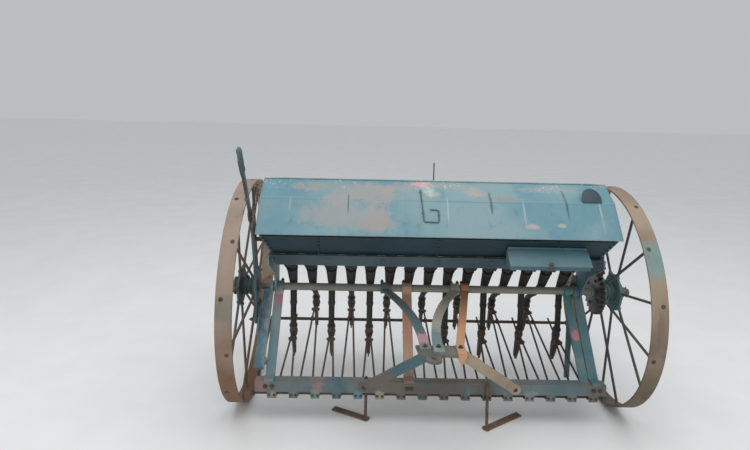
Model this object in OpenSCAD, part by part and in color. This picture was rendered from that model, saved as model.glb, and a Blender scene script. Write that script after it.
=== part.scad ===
// Old two-wheeled seed drill: hopper with a folded lid, feed cups on a geared sowing shaft,
// drag-arm coulters in two staggered rows that a hand lever lifts, and a flat-bar hitch in front.
// Millimetres. X runs across the drill, -Y is the way it travels, +Z is up, the ground is Z = 0.
// Angles are in degrees.

/* [Wheels] */
// Outer radius of the iron wheels
wheel_r = 610; // [560:1:640]
// Half of the track, from the middle of the drill to the middle of a rim
track_half = 1027; // [1015:1:1100]
// Width of the flat rim
rim_w = 80; // [50:1:90]
// Thickness of the rim
rim_t = 10; // [6:0.5:14]
// Number of spokes in a wheel
spoke_count = 14; // [10:2:18]
// Diameter of a spoke
spoke_d = 14; // [10:0.5:18]
// How far each spoke is set off the middle of the rim
spoke_set = 14; // [4:1:20]
// Distance between the middles of the two hub flanges
hub_flange_gap = 88; // [70:1:110]
// Radius of the hub flanges
hub_flange_r = 104; // [85:1:108]
// Thickness of a hub flange
hub_flange_t = 12; // [8:1:18]
// Radius of the hub barrel
hub_r = 45; // [36:1:55]

/* [Axle] */
// Outer diameter of the axle tube between the side frames
axle_d = 42; // [34:1:50]
// Distance from the middle of a rim in to the end of the axle tube
axle_in = 121; // [115:1:127]
// Diameter of the stub that a wheel turns on
stub_d = 36; // [28:1:40]
// Running gap around a stub, on the radius
run_gap = 0.08; // [0.05:0.01:0.1]

/* [Hopper] */
// Distance from the middle of a rim in to the end of the lid
lid_in = 110; // [102:1:127]
// How far the lid reaches past the end boards
lid_over = 12; // [7:1:16]
// How far the end boards draw in from the mouth to the knee
end_slant = 52; // [44:1:60]
// Y of the ridge, the middle of the hopper mouth
ridge_y = -147; // [-170:1:-130]
// Height of the neck between a feed cup and the floor
cup_neck = 4; // [2:0.5:8]
// Height of the knee above the floor
knee_rise = 52; // [44:1:60]
// Height of the mouth above the knee
wall_rise = 112; // [100:1:124]
// Height of the lid's lower edges above the mouth
eave_rise = 14; // [8:1:20]
// Height of the creases above the lid's lower edges
slope_rise = 163; // [146:1:180]
// Height of the ridge above the creases
ridge_rise = 80; // [70:1:90]
// Distance from the ridge to a crease, along Y
crease_run = 142; // [120:1:160]
// Distance from the ridge to the front edge of the lid, along Y
eave_run = 268; // [255:1:285]
// Thickness of the lid's sheet
lid_t = 3; // [2:0.5:5]
// Thickness of the hopper's walls
wall_t = 5; // [3:0.5:8]
// Thickness of the end boards
end_t = 12; // [8:0.5:16]
// Distance from the ridge to the top of the front wall, along Y
mouth_run = 238; // [225:1:246]
// Distance from the ridge to the knee of the hopper's walls, along Y
knee_run = 158; // [140:1:175]
// Half width of the hopper's floor, along Y
floor_run = 58; // [48:1:70]
// Height of the rails under the knees
rail_h = 52; // [46:1:60]
// Thickness of the rails
rail_t = 24; // [18:1:28]
// Place of the upright plate on the lid, across the drill
plaque_x = 800; // [760:1:820]
// Place of the wire handle on the lid, across the drill
grip_x = 170; // [150:1:190]
// Place of the thin rod behind the ridge, across the drill
pin_rod_x = 14; // [5:1:25]
// Length of the thin rod
pin_rod_len = 226; // [200:1:250]

/* [Toolbox] */
// Start of the toolbox, across the drill
box_start = 352; // [330:1:370]
// Length of the toolbox
box_len = 402; // [360:1:440]
// Depth of its lid's pin below the mouth of the hopper
box_below = 45; // [36:1:54]
// Distance its lid reaches forward
box_run = 78; // [68:1:90]
// Distance its lid falls from the pin to its edge
box_fall = 62; // [52:1:74]

/* [Sowing gear] */
// Y of the sowing shaft
shaft_y = -50; // [-60:1:-40]
// Diameter of the sowing shaft
shaft_d = 18; // [14:1:20]
// Gear module, pitch diameter over teeth
gear_module = 10; // [9:0.5:10]
// Teeth on the wheel's gear
gear_teeth = 24; // [20:2:24]
// Teeth on the pinion
pinion_teeth = 12; // [10:1:14]
// Face width of the gears
gear_w = 26; // [18:1:28]
// Width of a feed cup, along X
cup_w = 62; // [50:1:80]
// Radius of a feed cup's body
cup_r = 44; // [36:1:46]
// Length of the spout, from the middle of its cup
spout_h = 68; // [60:1:76]
// Diameter of a spout
spout_d = 40; // [32:1:44]

/* [Coulters] */
// Number of coulters
row_count = 15; // [11:2:15]
// Distance from an outermost row out to the end of the hopper's floor
row_margin = 69; // [62:1:80]
// Distance of the coulters' hinge rod behind the beam's face
hinge_back = 26; // [25:0.5:30]
// Depth of the hinge rod below the beam's top
hinge_drop = 77; // [72:1:82]
// Diameter of the hinge rod
hinge_d = 12; // [8:1:14]
// Length of the short drag arms, from the hinge to the boot
arm_short = 454; // [440:1:470]
// Length of the long drag arms
arm_long = 717; // [690:1:740]
// Diameter of a drag arm's rod
arm_d = 11; // [8:0.5:13]
// Angle at which the lifted arms stand
lifted = 18.5; // [16:0.5:20]
// Half distance between the eyes of one arm
eye_half = 38; // [30:1:42]
// Depth of a short coulter's tip below its arm
tip_short = 172; // [150:1:176]
// Depth of a long coulter's tip below its arm
tip_long = 186; // [165:1:190]
// Diameter of a seed tube above its knee
tube_d = 44; // [36:1:46]
// Diameter of a seed tube in its coulter
tube_low_d = 34; // [28:1:38]

/* [Frame] */
// Y of the front beam's face
beam_y = -356; // [-362:1:-352]
// Height of the beam's top
beam_top = 227; // [220:1:235]
// Height of the beam's upright flange
beam_h = 58; // [50:1:62]
// Width of the beam's flat flange
beam_w = 56; // [40:1:60]
// Thickness of the beam's flanges
beam_t = 6; // [5:0.5:8]
// Distance from the middle of the left rim in to the beam's end
beam_left_in = 99; // [97:1:106]
// Distance from the middle of the right rim in to the beam's end
beam_right_in = 123; // [116:1:130]
// Width of the flat bars
bar_w = 50; // [40:1:55]
// Thickness of the flat bars
bar_t = 10; // [8:0.5:12]
// Place of the centre post across the drill
mid_post_x = -127; // [-140:1:-115]
// Place of the hitch across the drill
hitch_x = -58; // [-70:1:-45]
// Y of the hitch pin's bore
hitch_y = -765; // [-790:1:-740]
// Depth of the hitch plate's top below the axle's middle
hitch_drop = 53; // [40:1:66]
// Distance from the pin's bore back to the ends of the bent bars
pad_back = 115; // [100:1:122]
// Diameter of the hitch pin's bore
hitch_bore = 26; // [20:1:32]
// Left and right ends of the upper hitch bars on the axle
hitch_left = -252; // [-270:1:-235]
hitch_right = 149; // [140:1:155]
// Place of the tongue bar on the axle
tongue_x = 204; // [200:1:220]
// Lower ends of the two stays on the beam
stay_left = -363; // [-380:1:-340]
stay_right = 424; // [405:1:440]
// Width of the stays
stay_w = 58; // [48:1:64]
// Places of the parking feet on the beam
foot_left = -351; // [-370:1:-330]
foot_right = 278; // [260:1:300]
// Lengths of the feet's flat soles
sole_left = 198; // [170:1:220]
sole_right = 245; // [220:1:270]
// Height of the inner rack end above the outer one, and its reach
rack_rise = 161; // [140:1:180]
rack_run = 146; // [130:1:160]

/* [Lift] */
// Y of the lift lever's pivot
lever_y = -140; // [-150:1:-135]
// Depth of the lift lever's pivot below the axle's middle
lever_drop = 142; // [135:1:150]
// Distance from the middle of the left rim in to the lever
lever_in = 73; // [71:1:74]
// Distance from the pivot to the end of the hand lever
lever_len = 1070; // [980:1:1120]
// Thickness of the lever
lever_t = 12; // [8:1:12]
// Radius of the lever's short arm
crank_r = 130; // [124:1:134]
// Diameter of the lift bail's cross rods
bail_d = 18; // [14:1:20]

/* [Hidden] */
$fn = 48;
seat = 0.3;
axle_z = wheel_r;
axle_half = track_half - axle_in;
lid_half = track_half - lid_in;
mouth_half = lid_half - lid_over;
floor_half = mouth_half - end_slant;
post_x = floor_half + 3;
beam_left = -track_half + beam_left_in;
beam_right = track_half - beam_right_in;
lever_x = -track_half + lever_in;
lever_z = axle_z - lever_drop;
hinge_y = beam_y + hinge_back;
hinge_z = beam_top - hinge_drop;
hub_in = track_half - hub_flange_gap / 2;
hub_out = track_half + hub_flange_gap / 2;
gear_r = gear_module * gear_teeth / 2;
pinion_r = gear_module * pinion_teeth / 2;
gear_x1 = hub_in - max(hub_flange_t, spoke_d) / 2 - 1;
gear_x0 = gear_x1 - gear_w;
shaft_z = axle_z + sqrt(pow(gear_r + pinion_r, 2) - pow(shaft_y, 2));
cup_z = shaft_z;
floor_z = shaft_z + cup_r + cup_neck + wall_t;
knee_z = floor_z + knee_rise;
mouth_z = knee_z + wall_rise;
eave_z = mouth_z + eave_rise;
crease_z = eave_z + slope_rise;
ridge_z = crease_z + ridge_rise;
// how far the helping solids reach that cut the hopper's pieces
cut_y0 = ridge_y - 2 * eave_run;
cut_y1 = ridge_y + 2 * eave_run;
cut_z0 = axle_z;
cut_z1 = ridge_z + ridge_rise;
ridge = [ridge_y, ridge_z];
crease_front = [ridge_y - crease_run, crease_z];
crease_rear = [ridge_y + crease_run, crease_z];
eave_front = [ridge_y - eave_run, eave_z];
eave_rear = [ridge_y + eave_run, eave_z];
floor_y = shaft_y;
// the tubes pass behind the axle, bent at a knee
tube_knee = [axle_d / 2 + tube_d / 2 + 37, axle_z - 8];
spout_dir = (tube_knee - [shaft_y, cup_z]) / norm(tube_knee - [shaft_y, cup_z]);
spout_end = [shaft_y, cup_z] + spout_h * spout_dir;
lid_pin_y = eave_rear[0] + 10;
lid_pin_z = eave_rear[1] - 4;
lid_hinges = [for (s = [-1:1]) s * lid_half * 0.76];
row_pitch = 2 * (floor_half - row_margin) / (row_count - 1);
row_x = [for (i = [0:row_count - 1]) (i - (row_count - 1) / 2) * row_pitch];
lug_x = [for (i = [0:row_count]) (i - row_count / 2) * row_pitch];
rail_front_y = ridge_y - knee_run - seat;
rail_rear_y = ridge_y + knee_run + seat;
plate_x = floor_half + 9;
rail_half = plate_x;
plate_t = 8;
box_x0 = box_start;
box_x1 = box_start + box_len;
box_top = [front_wall_y(mouth_z - box_below) - 7, mouth_z - box_below];
box_edge = box_top + [-box_run, -box_fall];
box_pin = 6;
bail_left = lever_x + 22;
bail_right = beam_right - 12;
bail_reach = arm_long - 125;
bail_drop = arm_d / 2 + bail_d / 2 + seat;
crank_angle = 19;
crank_y = lever_y + crank_r * cos(crank_angle);
crank_z = lever_z + crank_r * sin(crank_angle);
bail_pin_y = 315;
bail_pin_z = 6;
link_float = 8;
collar_w = 10;
hub_start = [
    // inner end of the left hub, which leaves room for the lever, and of the right one
    hub_in - hub_flange_t / 2 - 3, gear_x0 - 1
];
hub_x1 = hub_out + 40;
nut_w = 14;
stub_end = hub_x1 + 46;
hitch_nose = 36;
hitch_t = 12;
hitch_z = axle_z - hitch_drop;
pad_z = hitch_z + seat;
pad_y = hitch_y + pad_back;
// X of the tongue bar's end, relative to the hitch pin
tongue_end = 133;
origin_y = -(hitch_y - hitch_nose + wheel_r) / 2;

// Y of the front wall's outer face at a height above the knee, less the seat
function front_wall_y(z) =
    ridge_y - knee_run - (mouth_run - knee_run) * (z - knee_z) / (mouth_z - knee_z) - seat;

// every piece is drawn with the axle over Y = 0, then moved by origin_y, so that the middle
// of the drill's length stands over the origin
module placed() {
    translate([0, origin_y, 0])
        children();
}

// a profile in Y and Z, drawn out from x0 to x1
module slab(x0, x1, points) {
    translate([x0, 0, 0])
        rotate([90, 0, 90])
            linear_extrude(x1 - x0)
                polygon(points);
}

// a profile in X and Z, drawn out from y0 to y1
module curtain(y0, y1, points) {
    translate([0, y1, 0])
        rotate([90, 0, 0])
            linear_extrude(y1 - y0)
                polygon(points);
}

// a round bar along X
module bar_x(x0, x1, y, z, d) {
    translate([x0, y, z])
        rotate([0, 90, 0])
            cylinder(d = d, h = x1 - x0);
}

// a round bar between two points
module rod(a, b, d) {
    v = b - a;
    translate(a)
        rotate([0, acos(v[2] / norm(v)), atan2(v[1], v[0])])
            cylinder(d = d, h = norm(v));
}

// a round bar between two points that tapers from d1 to d2
module taper(a, b, d1, d2) {
    v = b - a;
    translate(a)
        rotate([0, acos(v[2] / norm(v)), atan2(v[1], v[0])])
            cylinder(d1 = d1, d2 = d2, h = norm(v));
}

// the turn about its own length that faces a bar along v as far to the front as it goes
function facing_front(v) =
    let (u = unit(v), n = unit([0, -1, 0] + u[1] * u), w = cross(n, u))
    atan2(w[2], n[2]);

// a flat bar between two points with round ends, its width level until it is rolled
module flat_bar(a, b, w, t, roll = 0, tip = true) {
    v = b - a;
    run = norm(v);
    translate(a)
        rotate([roll, -asin(v[2] / run), atan2(v[1], v[0])])
            translate([0, 0, -t / 2])
                linear_extrude(t)
                    union() {
                        translate([0, -w / 2])
                            square([run, w]);
                        circle(d = w);
                        if (tip)
                            translate([run, 0])
                                circle(d = w);
                    }
}

function unit(v) = v / norm(v);
// direction of a chain of points before and after point i
function before(p, i) = unit(i > 0 ? p[i] - p[i - 1] : p[1] - p[0]);
function after(p, i) = i < len(p) - 1 ? unit(p[i + 1] - p[i]) : before(p, i);
// point i of the chain, moved aside by w so that each stretch keeps its width
function aside(p, i, w) =
    let (a = before(p, i), b = after(p, i))
    p[i] + [-a[1] - b[1], a[0] + b[0]] * w / (1 + a * b);

// a strip of constant width along a chain of points in Y and Z, with an eye at each end
module strip(x0, x1, points, w, eye) {
    last = len(points) - 1;
    translate([x0, 0, 0])
        rotate([90, 0, 90])
            linear_extrude(x1 - x0)
                union() {
                    polygon(concat(
                        [for (i = [0:last]) aside(points, i, w / 2)],
                        [for (i = [last:-1:0]) aside(points, i, -w / 2)]
                    ));
                    translate(points[0])
                        circle(d = eye);
                    translate(points[last])
                        circle(d = eye);
                }
}

// the ring that clamps a flat bar to the axle, from x0 to x1
module axle_ring(x0, x1) {
    difference() {
        bar_x(x0, x1, 0, axle_z, axle_d + 22);
        bar_x(x0 - 1, x1 + 1, 0, axle_z, axle_d + 2 * seat);
    }
}

module axle_hole(x0, x1) {
    bar_x(x0, x1, 0, axle_z, axle_d + 2 * seat);
}

// Axle: a tube with a stub, a thrust collar and a nut at each end
module axle() {
    color("slategray") placed() {
        bar_x(-axle_half, axle_half, 0, axle_z, axle_d);
        bar_x(-stub_end, stub_end, 0, axle_z, stub_d);
        for (side = [-1, 1])
            for (x = [hub_start[side < 0 ? 0 : 1] - 1 - collar_w, hub_x1 + 1])
                translate([side * (x + collar_w / 2), 0, axle_z])
                    rotate([0, 90, 0])
                        cylinder(d = stub_d + 22, h = collar_w, center = true);
        for (side = [-1, 1])
            translate([side * (hub_x1 + 1 + collar_w + nut_w / 2), 0, axle_z])
                rotate([0, 90, 0])
                    cylinder(d = stub_d + 20, h = nut_w, center = true, $fn = 6);
    }
}

// The plate above the axle that carries the rails and the sowing shaft
module side_plate(side) {
    x0 = side < 0 ? -plate_x - plate_t : plate_x;
    front = rail_front_y - rail_t;
    rear = rail_rear_y + rail_t;
    difference() {
        union() {
            slab(x0, x0 + plate_t, [
                [-36, axle_z - 10], [36, axle_z - 10], [rear + 4, axle_z + 70],
                [rear, knee_z - rail_h], [rear, knee_z - 4], [front, knee_z - 4],
                [front, knee_z - rail_h], [-150, shaft_z - 40]
            ]);
            bar_x(x0, x0 + plate_t, 0, axle_z, axle_d + 44);
            bar_x(x0 - 6, x0 + plate_t + 6, shaft_y, shaft_z, shaft_d + 20);
        }
        axle_hole(x0 - 1, x0 + plate_t + 1);
        bar_x(x0 - 10, x0 + plate_t + 10, shaft_y, shaft_z, shaft_d + 2 * run_gap);
        bar_x(x0 - 1, x0 + plate_t + 1, -150, knee_z - rail_h - 5, 52);
    }
}

// The post that slants forward from the axle to the beam, its broad side to the front
module post(x, w) {
    difference() {
        union() {
            axle_ring(x - w / 2, x + w / 2);
            slab(x - w / 2, x + w / 2, [
                [-axle_d / 2 - 4, axle_z - 6], [-axle_d / 2 - 4, axle_z - 24],
                [beam_y + beam_w, beam_top + bar_t], [beam_y, beam_top + bar_t],
                [beam_y, beam_top], [beam_y + beam_w - 4, beam_top],
                [beam_y + beam_w - 4 + bar_t, beam_top + 4], [-axle_d / 2 + 6, axle_z - 34],
                [-axle_d / 2 + 10, axle_z - 12]
            ]);
        }
        axle_hole(x - w, x + w);
    }
}

module side_frame_left() {
    color("steelblue") placed() {
        side_plate(-1);
        post(-post_x, bar_w);
        lever_brace();
    }
}

module side_frame_right() {
    color("steelblue") placed() {
        side_plate(1);
        post(post_x, bar_w);
        inner_brace();
        hanging_strap();
    }
}

// A flat strap hangs behind the axle on the right, bent where it passes the tube
module hanging_strap() {
    x1 = plate_x - 8;
    y1 = axle_d / 2 + 14.5;
    translate([0, y1, 0])
        rotate([90, 0, 0])
            linear_extrude(plate_t)
                polygon([
                    [x1 - 31, axle_z * 0.12], [x1, axle_z * 0.115], [x1 - 1, axle_z * 0.56],
                    [x1 - 9, axle_z * 0.7], [x1 - 10, axle_z - 62], [x1 + 9, axle_z + 8],
                    [x1 + 9, axle_z + 84], [x1 - 12, axle_z + 84], [x1 - 36, axle_z - 30],
                    [x1 - 40, axle_z * 0.8], [x1 - 32, axle_z * 0.58]
                ]);
}

// On the left a broad plate runs down outside the post and carries the lever's pivot
module lever_brace() {
    x0 = lever_x + 6;
    x1 = -post_x - bar_w / 2 - 6;
    // a point ahead of the post, near its lower end
    low = [
        -axle_d / 2 - 4 + 0.88 * (beam_y + beam_w + axle_d / 2 + 4) - 58,
        axle_z - 24 + 0.88 * (beam_top + bar_t - axle_z + 24) - 4
    ];
    difference() {
        union() {
            axle_ring(x1 - 16, x1);
            slab(x0 + 8, x1, [
                [-axle_d / 2 - 4, axle_z - 6], [-axle_d / 2 - 4, axle_z - 26],
                [low[0], low[1] + bar_t], [low[0] + 6, low[1] - 4],
                [-axle_d / 2 + 6, axle_z - 38], [-axle_d / 2 + 10, axle_z - 12]
            ]);
            slab(x0, x0 + 8, [
                [-46, axle_z - 62], [-46, axle_z - 92], [lever_y + 34, lever_z - 34],
                [lever_y - 44, lever_z - 56], [lever_y - 70, lever_z - 58],
                [lever_y - 34, lever_z + 10], [lever_y - 8, lever_z + 34]
            ]);
            bar_x(lever_x - lever_t - 8, x0 + 4, lever_y, lever_z, 20);
            bar_x(lever_x - lever_t - 7, lever_x - lever_t - 1, lever_y, lever_z, 34);
            // foot that ties the plate to the post beside it
            slab(x0 + 8, -post_x - bar_w / 2 + 1, [
                [low[0] + 22, low[1] + 24], [low[0] + 44, low[1] + 47],
                [low[0] + 69, low[1] + 10], [low[0] + 57, low[1] - 3]
            ]);
        }
        axle_hole(x0 - 1, x1 + 1);
    }
}

// On the right a second plate stands behind the post
module inner_brace() {
    x1 = post_x - bar_w / 2 - 8;
    x0 = x1 - 44;
    difference() {
        union() {
            axle_ring(x0, x0 + 30);
            slab(x0, x1, [
                [-8, axle_z - 24], [4, axle_z - 28], [beam_y + 74, beam_top + 26],
                [beam_y + beam_w, beam_top], [beam_y + beam_w - 16, beam_top],
                [beam_y + 62, beam_top + 30]
            ]);
        }
        axle_hole(x0 - 1, x1 + 1);
    }
}

// Front beam: an angle whose lugs carry the hinge rod
module front_beam() {
    color("cadetblue") placed()
        difference() {
            union() {
                slab(beam_left, beam_right, [
                    [beam_y, beam_top - beam_h], [beam_y + beam_t, beam_top - beam_h],
                    [beam_y + beam_t, beam_top - beam_t], [beam_y + beam_w, beam_top - beam_t],
                    [beam_y + beam_w, beam_top], [beam_y, beam_top]
                ]);
                for (x = lug_x)
                    slab(x - 7, x + 7, [
                        [beam_y, hinge_z - 14], [hinge_y + 12, hinge_z - 14],
                        [hinge_y + 14, hinge_z + 12], [beam_y + 12, beam_top - beam_t],
                        [beam_y, beam_top - beam_h / 2]
                    ]);
                // face plate of each lug
                for (x = lug_x)
                    slab(x - 23, x + 23, [
                        [beam_y, hinge_z - 14], [beam_y + 8, hinge_z - 14],
                        [beam_y + 8, beam_top - beam_h + 8], [beam_y, beam_top - beam_h + 8]
                    ]);
            }
            bar_x(beam_left - 1, beam_right + 1, hinge_y, hinge_z, hinge_d + 2 * run_gap);
        }
}

// Hinge rod: carries every drag arm and the lift bail
module hinge_rod() {
    color("dimgray") placed() {
        bar_x(bail_left - 22, bail_right + 20, hinge_y, hinge_z, hinge_d);
        for (x = [bail_left - 22, bail_right + 12])
            bar_x(x, x + 8, hinge_y, hinge_z, hinge_d + 14);
    }
}

module centre_post() {
    color("salmon") placed()
        post(mid_post_x, bar_w + 4);
}

// Upper hitch bar: starts sideways at its clamp on the axle, bends forward and down to the
// hitch, and ends in a level pad that reaches to y_tip
module hitch_bar(x_axle, x_end, y_tip) {
    dx = abs(x_end - x_axle);
    dy = -30 - pad_y;
    turn = 2 * atan(dx / dy);
    radius = dy / sin(turn);
    side = x_axle < x_end ? 1 : -1;
    difference() {
        union() {
            axle_ring(x_axle - bar_w / 2, x_axle + bar_w / 2);
            translate([0, 0, axle_z])
                rotate([asin((axle_z - bar_t / 2 - pad_z - 1) / -pad_y), 0, 0])
                    translate([x_end, pad_y, -bar_t / 2])
                        mirror([side < 0 ? 1 : 0, 0, 0])
                            translate([-radius, 0, 0])
                                rotate_extrude(angle = turn, $fn = 96)
                                    translate([radius - bar_w / 2 + 2, 0])
                                        square([bar_w - 4, bar_t]);
            translate([x_end - bar_w / 2, y_tip, pad_z])
                cube([bar_w, pad_y + 5 - y_tip, bar_t]);
        }
        axle_hole(x_axle - bar_w, x_axle + bar_w);
        translate([x_end, pad_y - 19, pad_z - 1])
            cylinder(d = 14, h = bar_t + 2);
    }
}

module hitch_bar_left() {
    color("lightsteelblue") placed()
        hitch_bar(hitch_left, hitch_x - 31, pad_y - 38);
}

module hitch_bar_right() {
    color("lightgray") placed()
        hitch_bar(hitch_right, hitch_x + 31, pad_y - 70);
}

// Hitch plate under the bars' ends, with the bore for the hitch pin
module hitch_plate() {
    color("gray") placed()
        translate([hitch_x, hitch_y, hitch_z - hitch_t])
            difference() {
                union() {
                    linear_extrude(hitch_t)
                        polygon([
                            [-72, pad_back + 18], [tongue_end + 22, pad_back + 18],
                            [tongue_end + 26, 34], [44, 34], [30, 8], [-26, 12], [-62, 44]
                        ]);
                    cylinder(r = hitch_nose, h = hitch_t);
                }
                translate([0, 0, -1])
                    cylinder(d = hitch_bore, h = hitch_t + 2);
                for (x = [-31, 31])
                    translate([x, pad_back - 19, -1])
                        cylinder(d = 14, h = hitch_t + 2);
            }
}

// Lower stays: flats that stand broad to the front, from the beam's face up under the plate
module lower_stays() {
    t = 8;
    top = hitch_z - hitch_t - seat;
    face = beam_y - seat;
    color("tan") placed()
        for (e = [
            // foot x, head x, head y
            [stay_left, hitch_x - 6, pad_y - 37],
            [stay_right, hitch_x + tongue_end - 4, pad_y - 22]
        ]) {
            foot = [e[0], face - t / 2, beam_top - 24];
            head = [e[1], e[2], top - t / 2];
            difference() {
                union() {
                    flat_bar(foot, head, stay_w - 6, t, facing_front(head - foot));
                    translate([e[0], face, beam_top - 24])
                        rotate([90, 0, 0])
                            cylinder(d = stay_w, h = t);
                    translate([e[1], e[2], top - t])
                        cylinder(d = stay_w - 8, h = t);
                }
                translate([e[0] - stay_w, face, beam_top - beam_h - 40])
                    cube([2 * stay_w, 60, beam_h + 80]);
                translate([e[1] - stay_w, e[2] - stay_w, top])
                    cube([2 * stay_w, 2 * stay_w, 60]);
            }
        }
}

// Tongue bar: a flat from its clamp on the axle over the hitch plate, its point bent down
module tongue_bar() {
    t = 8;
    end_x = hitch_x + tongue_end;
    front = hitch_y + 34 - seat;
    a = [tongue_x, -axle_d / 2 - 8, axle_z - 2];
    b = [end_x, pad_y, pad_z + t / 2 + 2.4];
    color("peru") placed()
        difference() {
            union() {
                axle_ring(tongue_x - 22, tongue_x + 22);
                flat_bar(a, b, 40, t);
                translate([end_x - 21, front - t, pad_z])
                    cube([42, pad_y + 12 - front + t, t]);
                curtain(front - t, front, [
                    [end_x - 21, pad_z + 1], [end_x - 18, pad_z - 22], [end_x - 4, pad_z - 48],
                    [end_x + 14, pad_z - 20], [end_x + 21, pad_z + 1]
                ]);
            }
            axle_hole(tongue_x - 40, tongue_x + 40);
        }
}

// Parking feet: two rods on the beam with a flat sole on the ground
module parking_feet() {
    sole = 8;
    color("sienna") placed()
        for (f = [
            // x, top y, top z, bottom y, length of the sole, its direction
            [foot_left, beam_y + beam_w - 10, beam_top - beam_t, beam_y + beam_w - 10, sole_left, 151.4],
            [foot_right, beam_y - 8 - seat, beam_top - 8, beam_y - 30, sole_right, 33.7]
        ]) {
            rod([f[0], f[1], f[2]], [f[0], f[3], sole / 2], 16);
            translate([f[0], f[3], 0])
                rotate(f[5])
                    linear_extrude(sole)
                        union() {
                            translate([-16, -18])
                                square([f[4] + 16, 36]);
                            circle(d = 40);
                        }
        }
}

// Rails: boards under the knees of the hopper
module front_rail() {
    color("lightslategray") placed()
        curtain(rail_front_y - rail_t, rail_front_y, [
            [-rail_half + 38, knee_z - rail_h], [rail_half - 14, knee_z - rail_h],
            [rail_half, knee_z - rail_h / 2], [rail_half, knee_z - 1], [-rail_half, knee_z - 1]
        ]);
}

module rear_rail() {
    y = rail_rear_y;
    color("lightslategray") placed()
        slab(-rail_half, rail_half, [
            [y, knee_z - rail_h], [y + rail_t, knee_z - rail_h],
            [y + rail_t, knee_z - 20], [y, knee_z - 20]
        ]);
}

// the inside of the hopper between its end boards, in X and Z
module between_ends() {
    b = floor_half - end_t;
    m = mouth_half - end_t;
    curtain(cut_y0, cut_y1, [
        [-b, cut_z0], [b, cut_z0], [b, knee_z], [m, mouth_z], [m, cut_z1],
        [-m, cut_z1], [-m, mouth_z], [-b, knee_z]
    ]);
}

// one long wall, from the mouth over the knee to the floor; side is -1 in front
module hopper_wall(side) {
    m = ridge_y + side * mouth_run;
    k = ridge_y + side * knee_run;
    f = floor_y + side * floor_run;
    s = side * wall_t;
    intersection() {
        slab(-mouth_half, mouth_half, [
            [m, mouth_z], [k, knee_z], [f, floor_z - wall_t], [f - s, floor_z],
            [k - s, knee_z + wall_t * 0.6], [m - s, mouth_z]
        ]);
        between_ends();
    }
}

module hopper_front() {
    color("darkslategray") placed()
        hopper_wall(-1);
}

// The rear wall also carries the lid's hinge pins
module hopper_rear() {
    color("darkslategray") placed() {
        hopper_wall(1);
        for (x = lid_hinges) {
            slab(x - 34, x - 14, [
                [ridge_y + mouth_run - 24, mouth_z - 30], [lid_pin_y - 4, lid_pin_z - 8],
                [lid_pin_y + 3, lid_pin_z], [lid_pin_y - 2, lid_pin_z + 5],
                [ridge_y + mouth_run - 5, mouth_z - 4]
            ]);
            bar_x(x - 34, x + 14, lid_pin_y, lid_pin_z, 8);
        }
    }
}

module hopper_floor() {
    color("darkslategray") placed()
        difference() {
            slab(-floor_half + end_t, floor_half - end_t, [
                [floor_y - floor_run + wall_t, floor_z - wall_t],
                [floor_y + floor_run - wall_t, floor_z - wall_t],
                [floor_y + floor_run - wall_t, floor_z],
                [floor_y - floor_run + wall_t, floor_z]
            ]);
            for (x = row_x)
                translate([x - 18, floor_y - 26, floor_z - wall_t - 1])
                    cube([36, 52, wall_t + 2]);
        }
}

// End boards: gables that the lid rests on, drawn in below the mouth
module hopper_ends() {
    b = floor_half;
    m = mouth_half;
    g = lid_t + seat + 1;
    color("steelblue") placed()
        for (side = [-1, 1])
            mirror([side < 0 ? 1 : 0, 0, 0])
                intersection() {
                    slab(0, m, [
                        [ridge_y, ridge_z - g - 1], crease_rear + [-1.5, -g],
                        [ridge_y + mouth_run, eave_z + 18],
                        [ridge_y + mouth_run, mouth_z], [ridge_y + knee_run, knee_z],
                        [floor_y + floor_run, floor_z - wall_t],
                        [floor_y - floor_run, floor_z - wall_t],
                        [ridge_y - knee_run, knee_z], [ridge_y - mouth_run, mouth_z],
                        [ridge_y - mouth_run, eave_z + 18], crease_front + [1.5, -g]
                    ]);
                    curtain(cut_y0, cut_y1, [
                        [b - end_t, cut_z0], [b, cut_z0], [b, knee_z], [m, mouth_z],
                        [m, cut_z1], [m - end_t, cut_z1], [m - end_t, mouth_z],
                        [b - end_t, knee_z]
                    ]);
                }
}

// Catch bar: a toothed rack beside the lid that holds the lift lever, on a foot at the end board
module catch_bar() {
    x0 = -lid_half - 19;
    x1 = x0 + 8;
    low = [ridge_y - eave_run + 20, eave_z + 34];
    v = unit([rack_run, rack_rise]);
    n = [-v[1], v[0]];
    count = 9;
    step = norm([rack_run, rack_rise]) / (count + 1);
    foot = [ridge_y - mouth_run + 62, mouth_z - 34];
    color("slategray") placed()
        difference() {
            union() {
                slab(x0, x1, [
                    low - v * 10 - n * 2, low + v * step * (count + 1) - n * 2,
                    low + v * step * (count + 1) + n * 18, low - v * 10 + n * 18
                ]);
                slab(x0, x1, [
                    low - v * 10 - n * 2, low + v * 16 - n * 2, foot + [14, 10],
                    foot + [14, -14], foot + [-14, -14], low - v * 10 + n * 6
                ]);
                bar_x(x0 + 1, -floor_half, foot[0], foot[1], 22);
            }
            // the slanted face of the end board, and the space behind it
            curtain(cut_y0, cut_y1, [
                [-mouth_half - seat, mouth_z], [-floor_half - seat, knee_z],
                [0, knee_z], [0, mouth_z]
            ]);
            for (i = [1:count])
                slab(x0 - 1, x1 + 1, [
                    low + v * step * i + n * 10, low + v * (step * i + 9) + n * 19,
                    low + v * (step * i - 1) + n * 19
                ]);
        }
}

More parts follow.
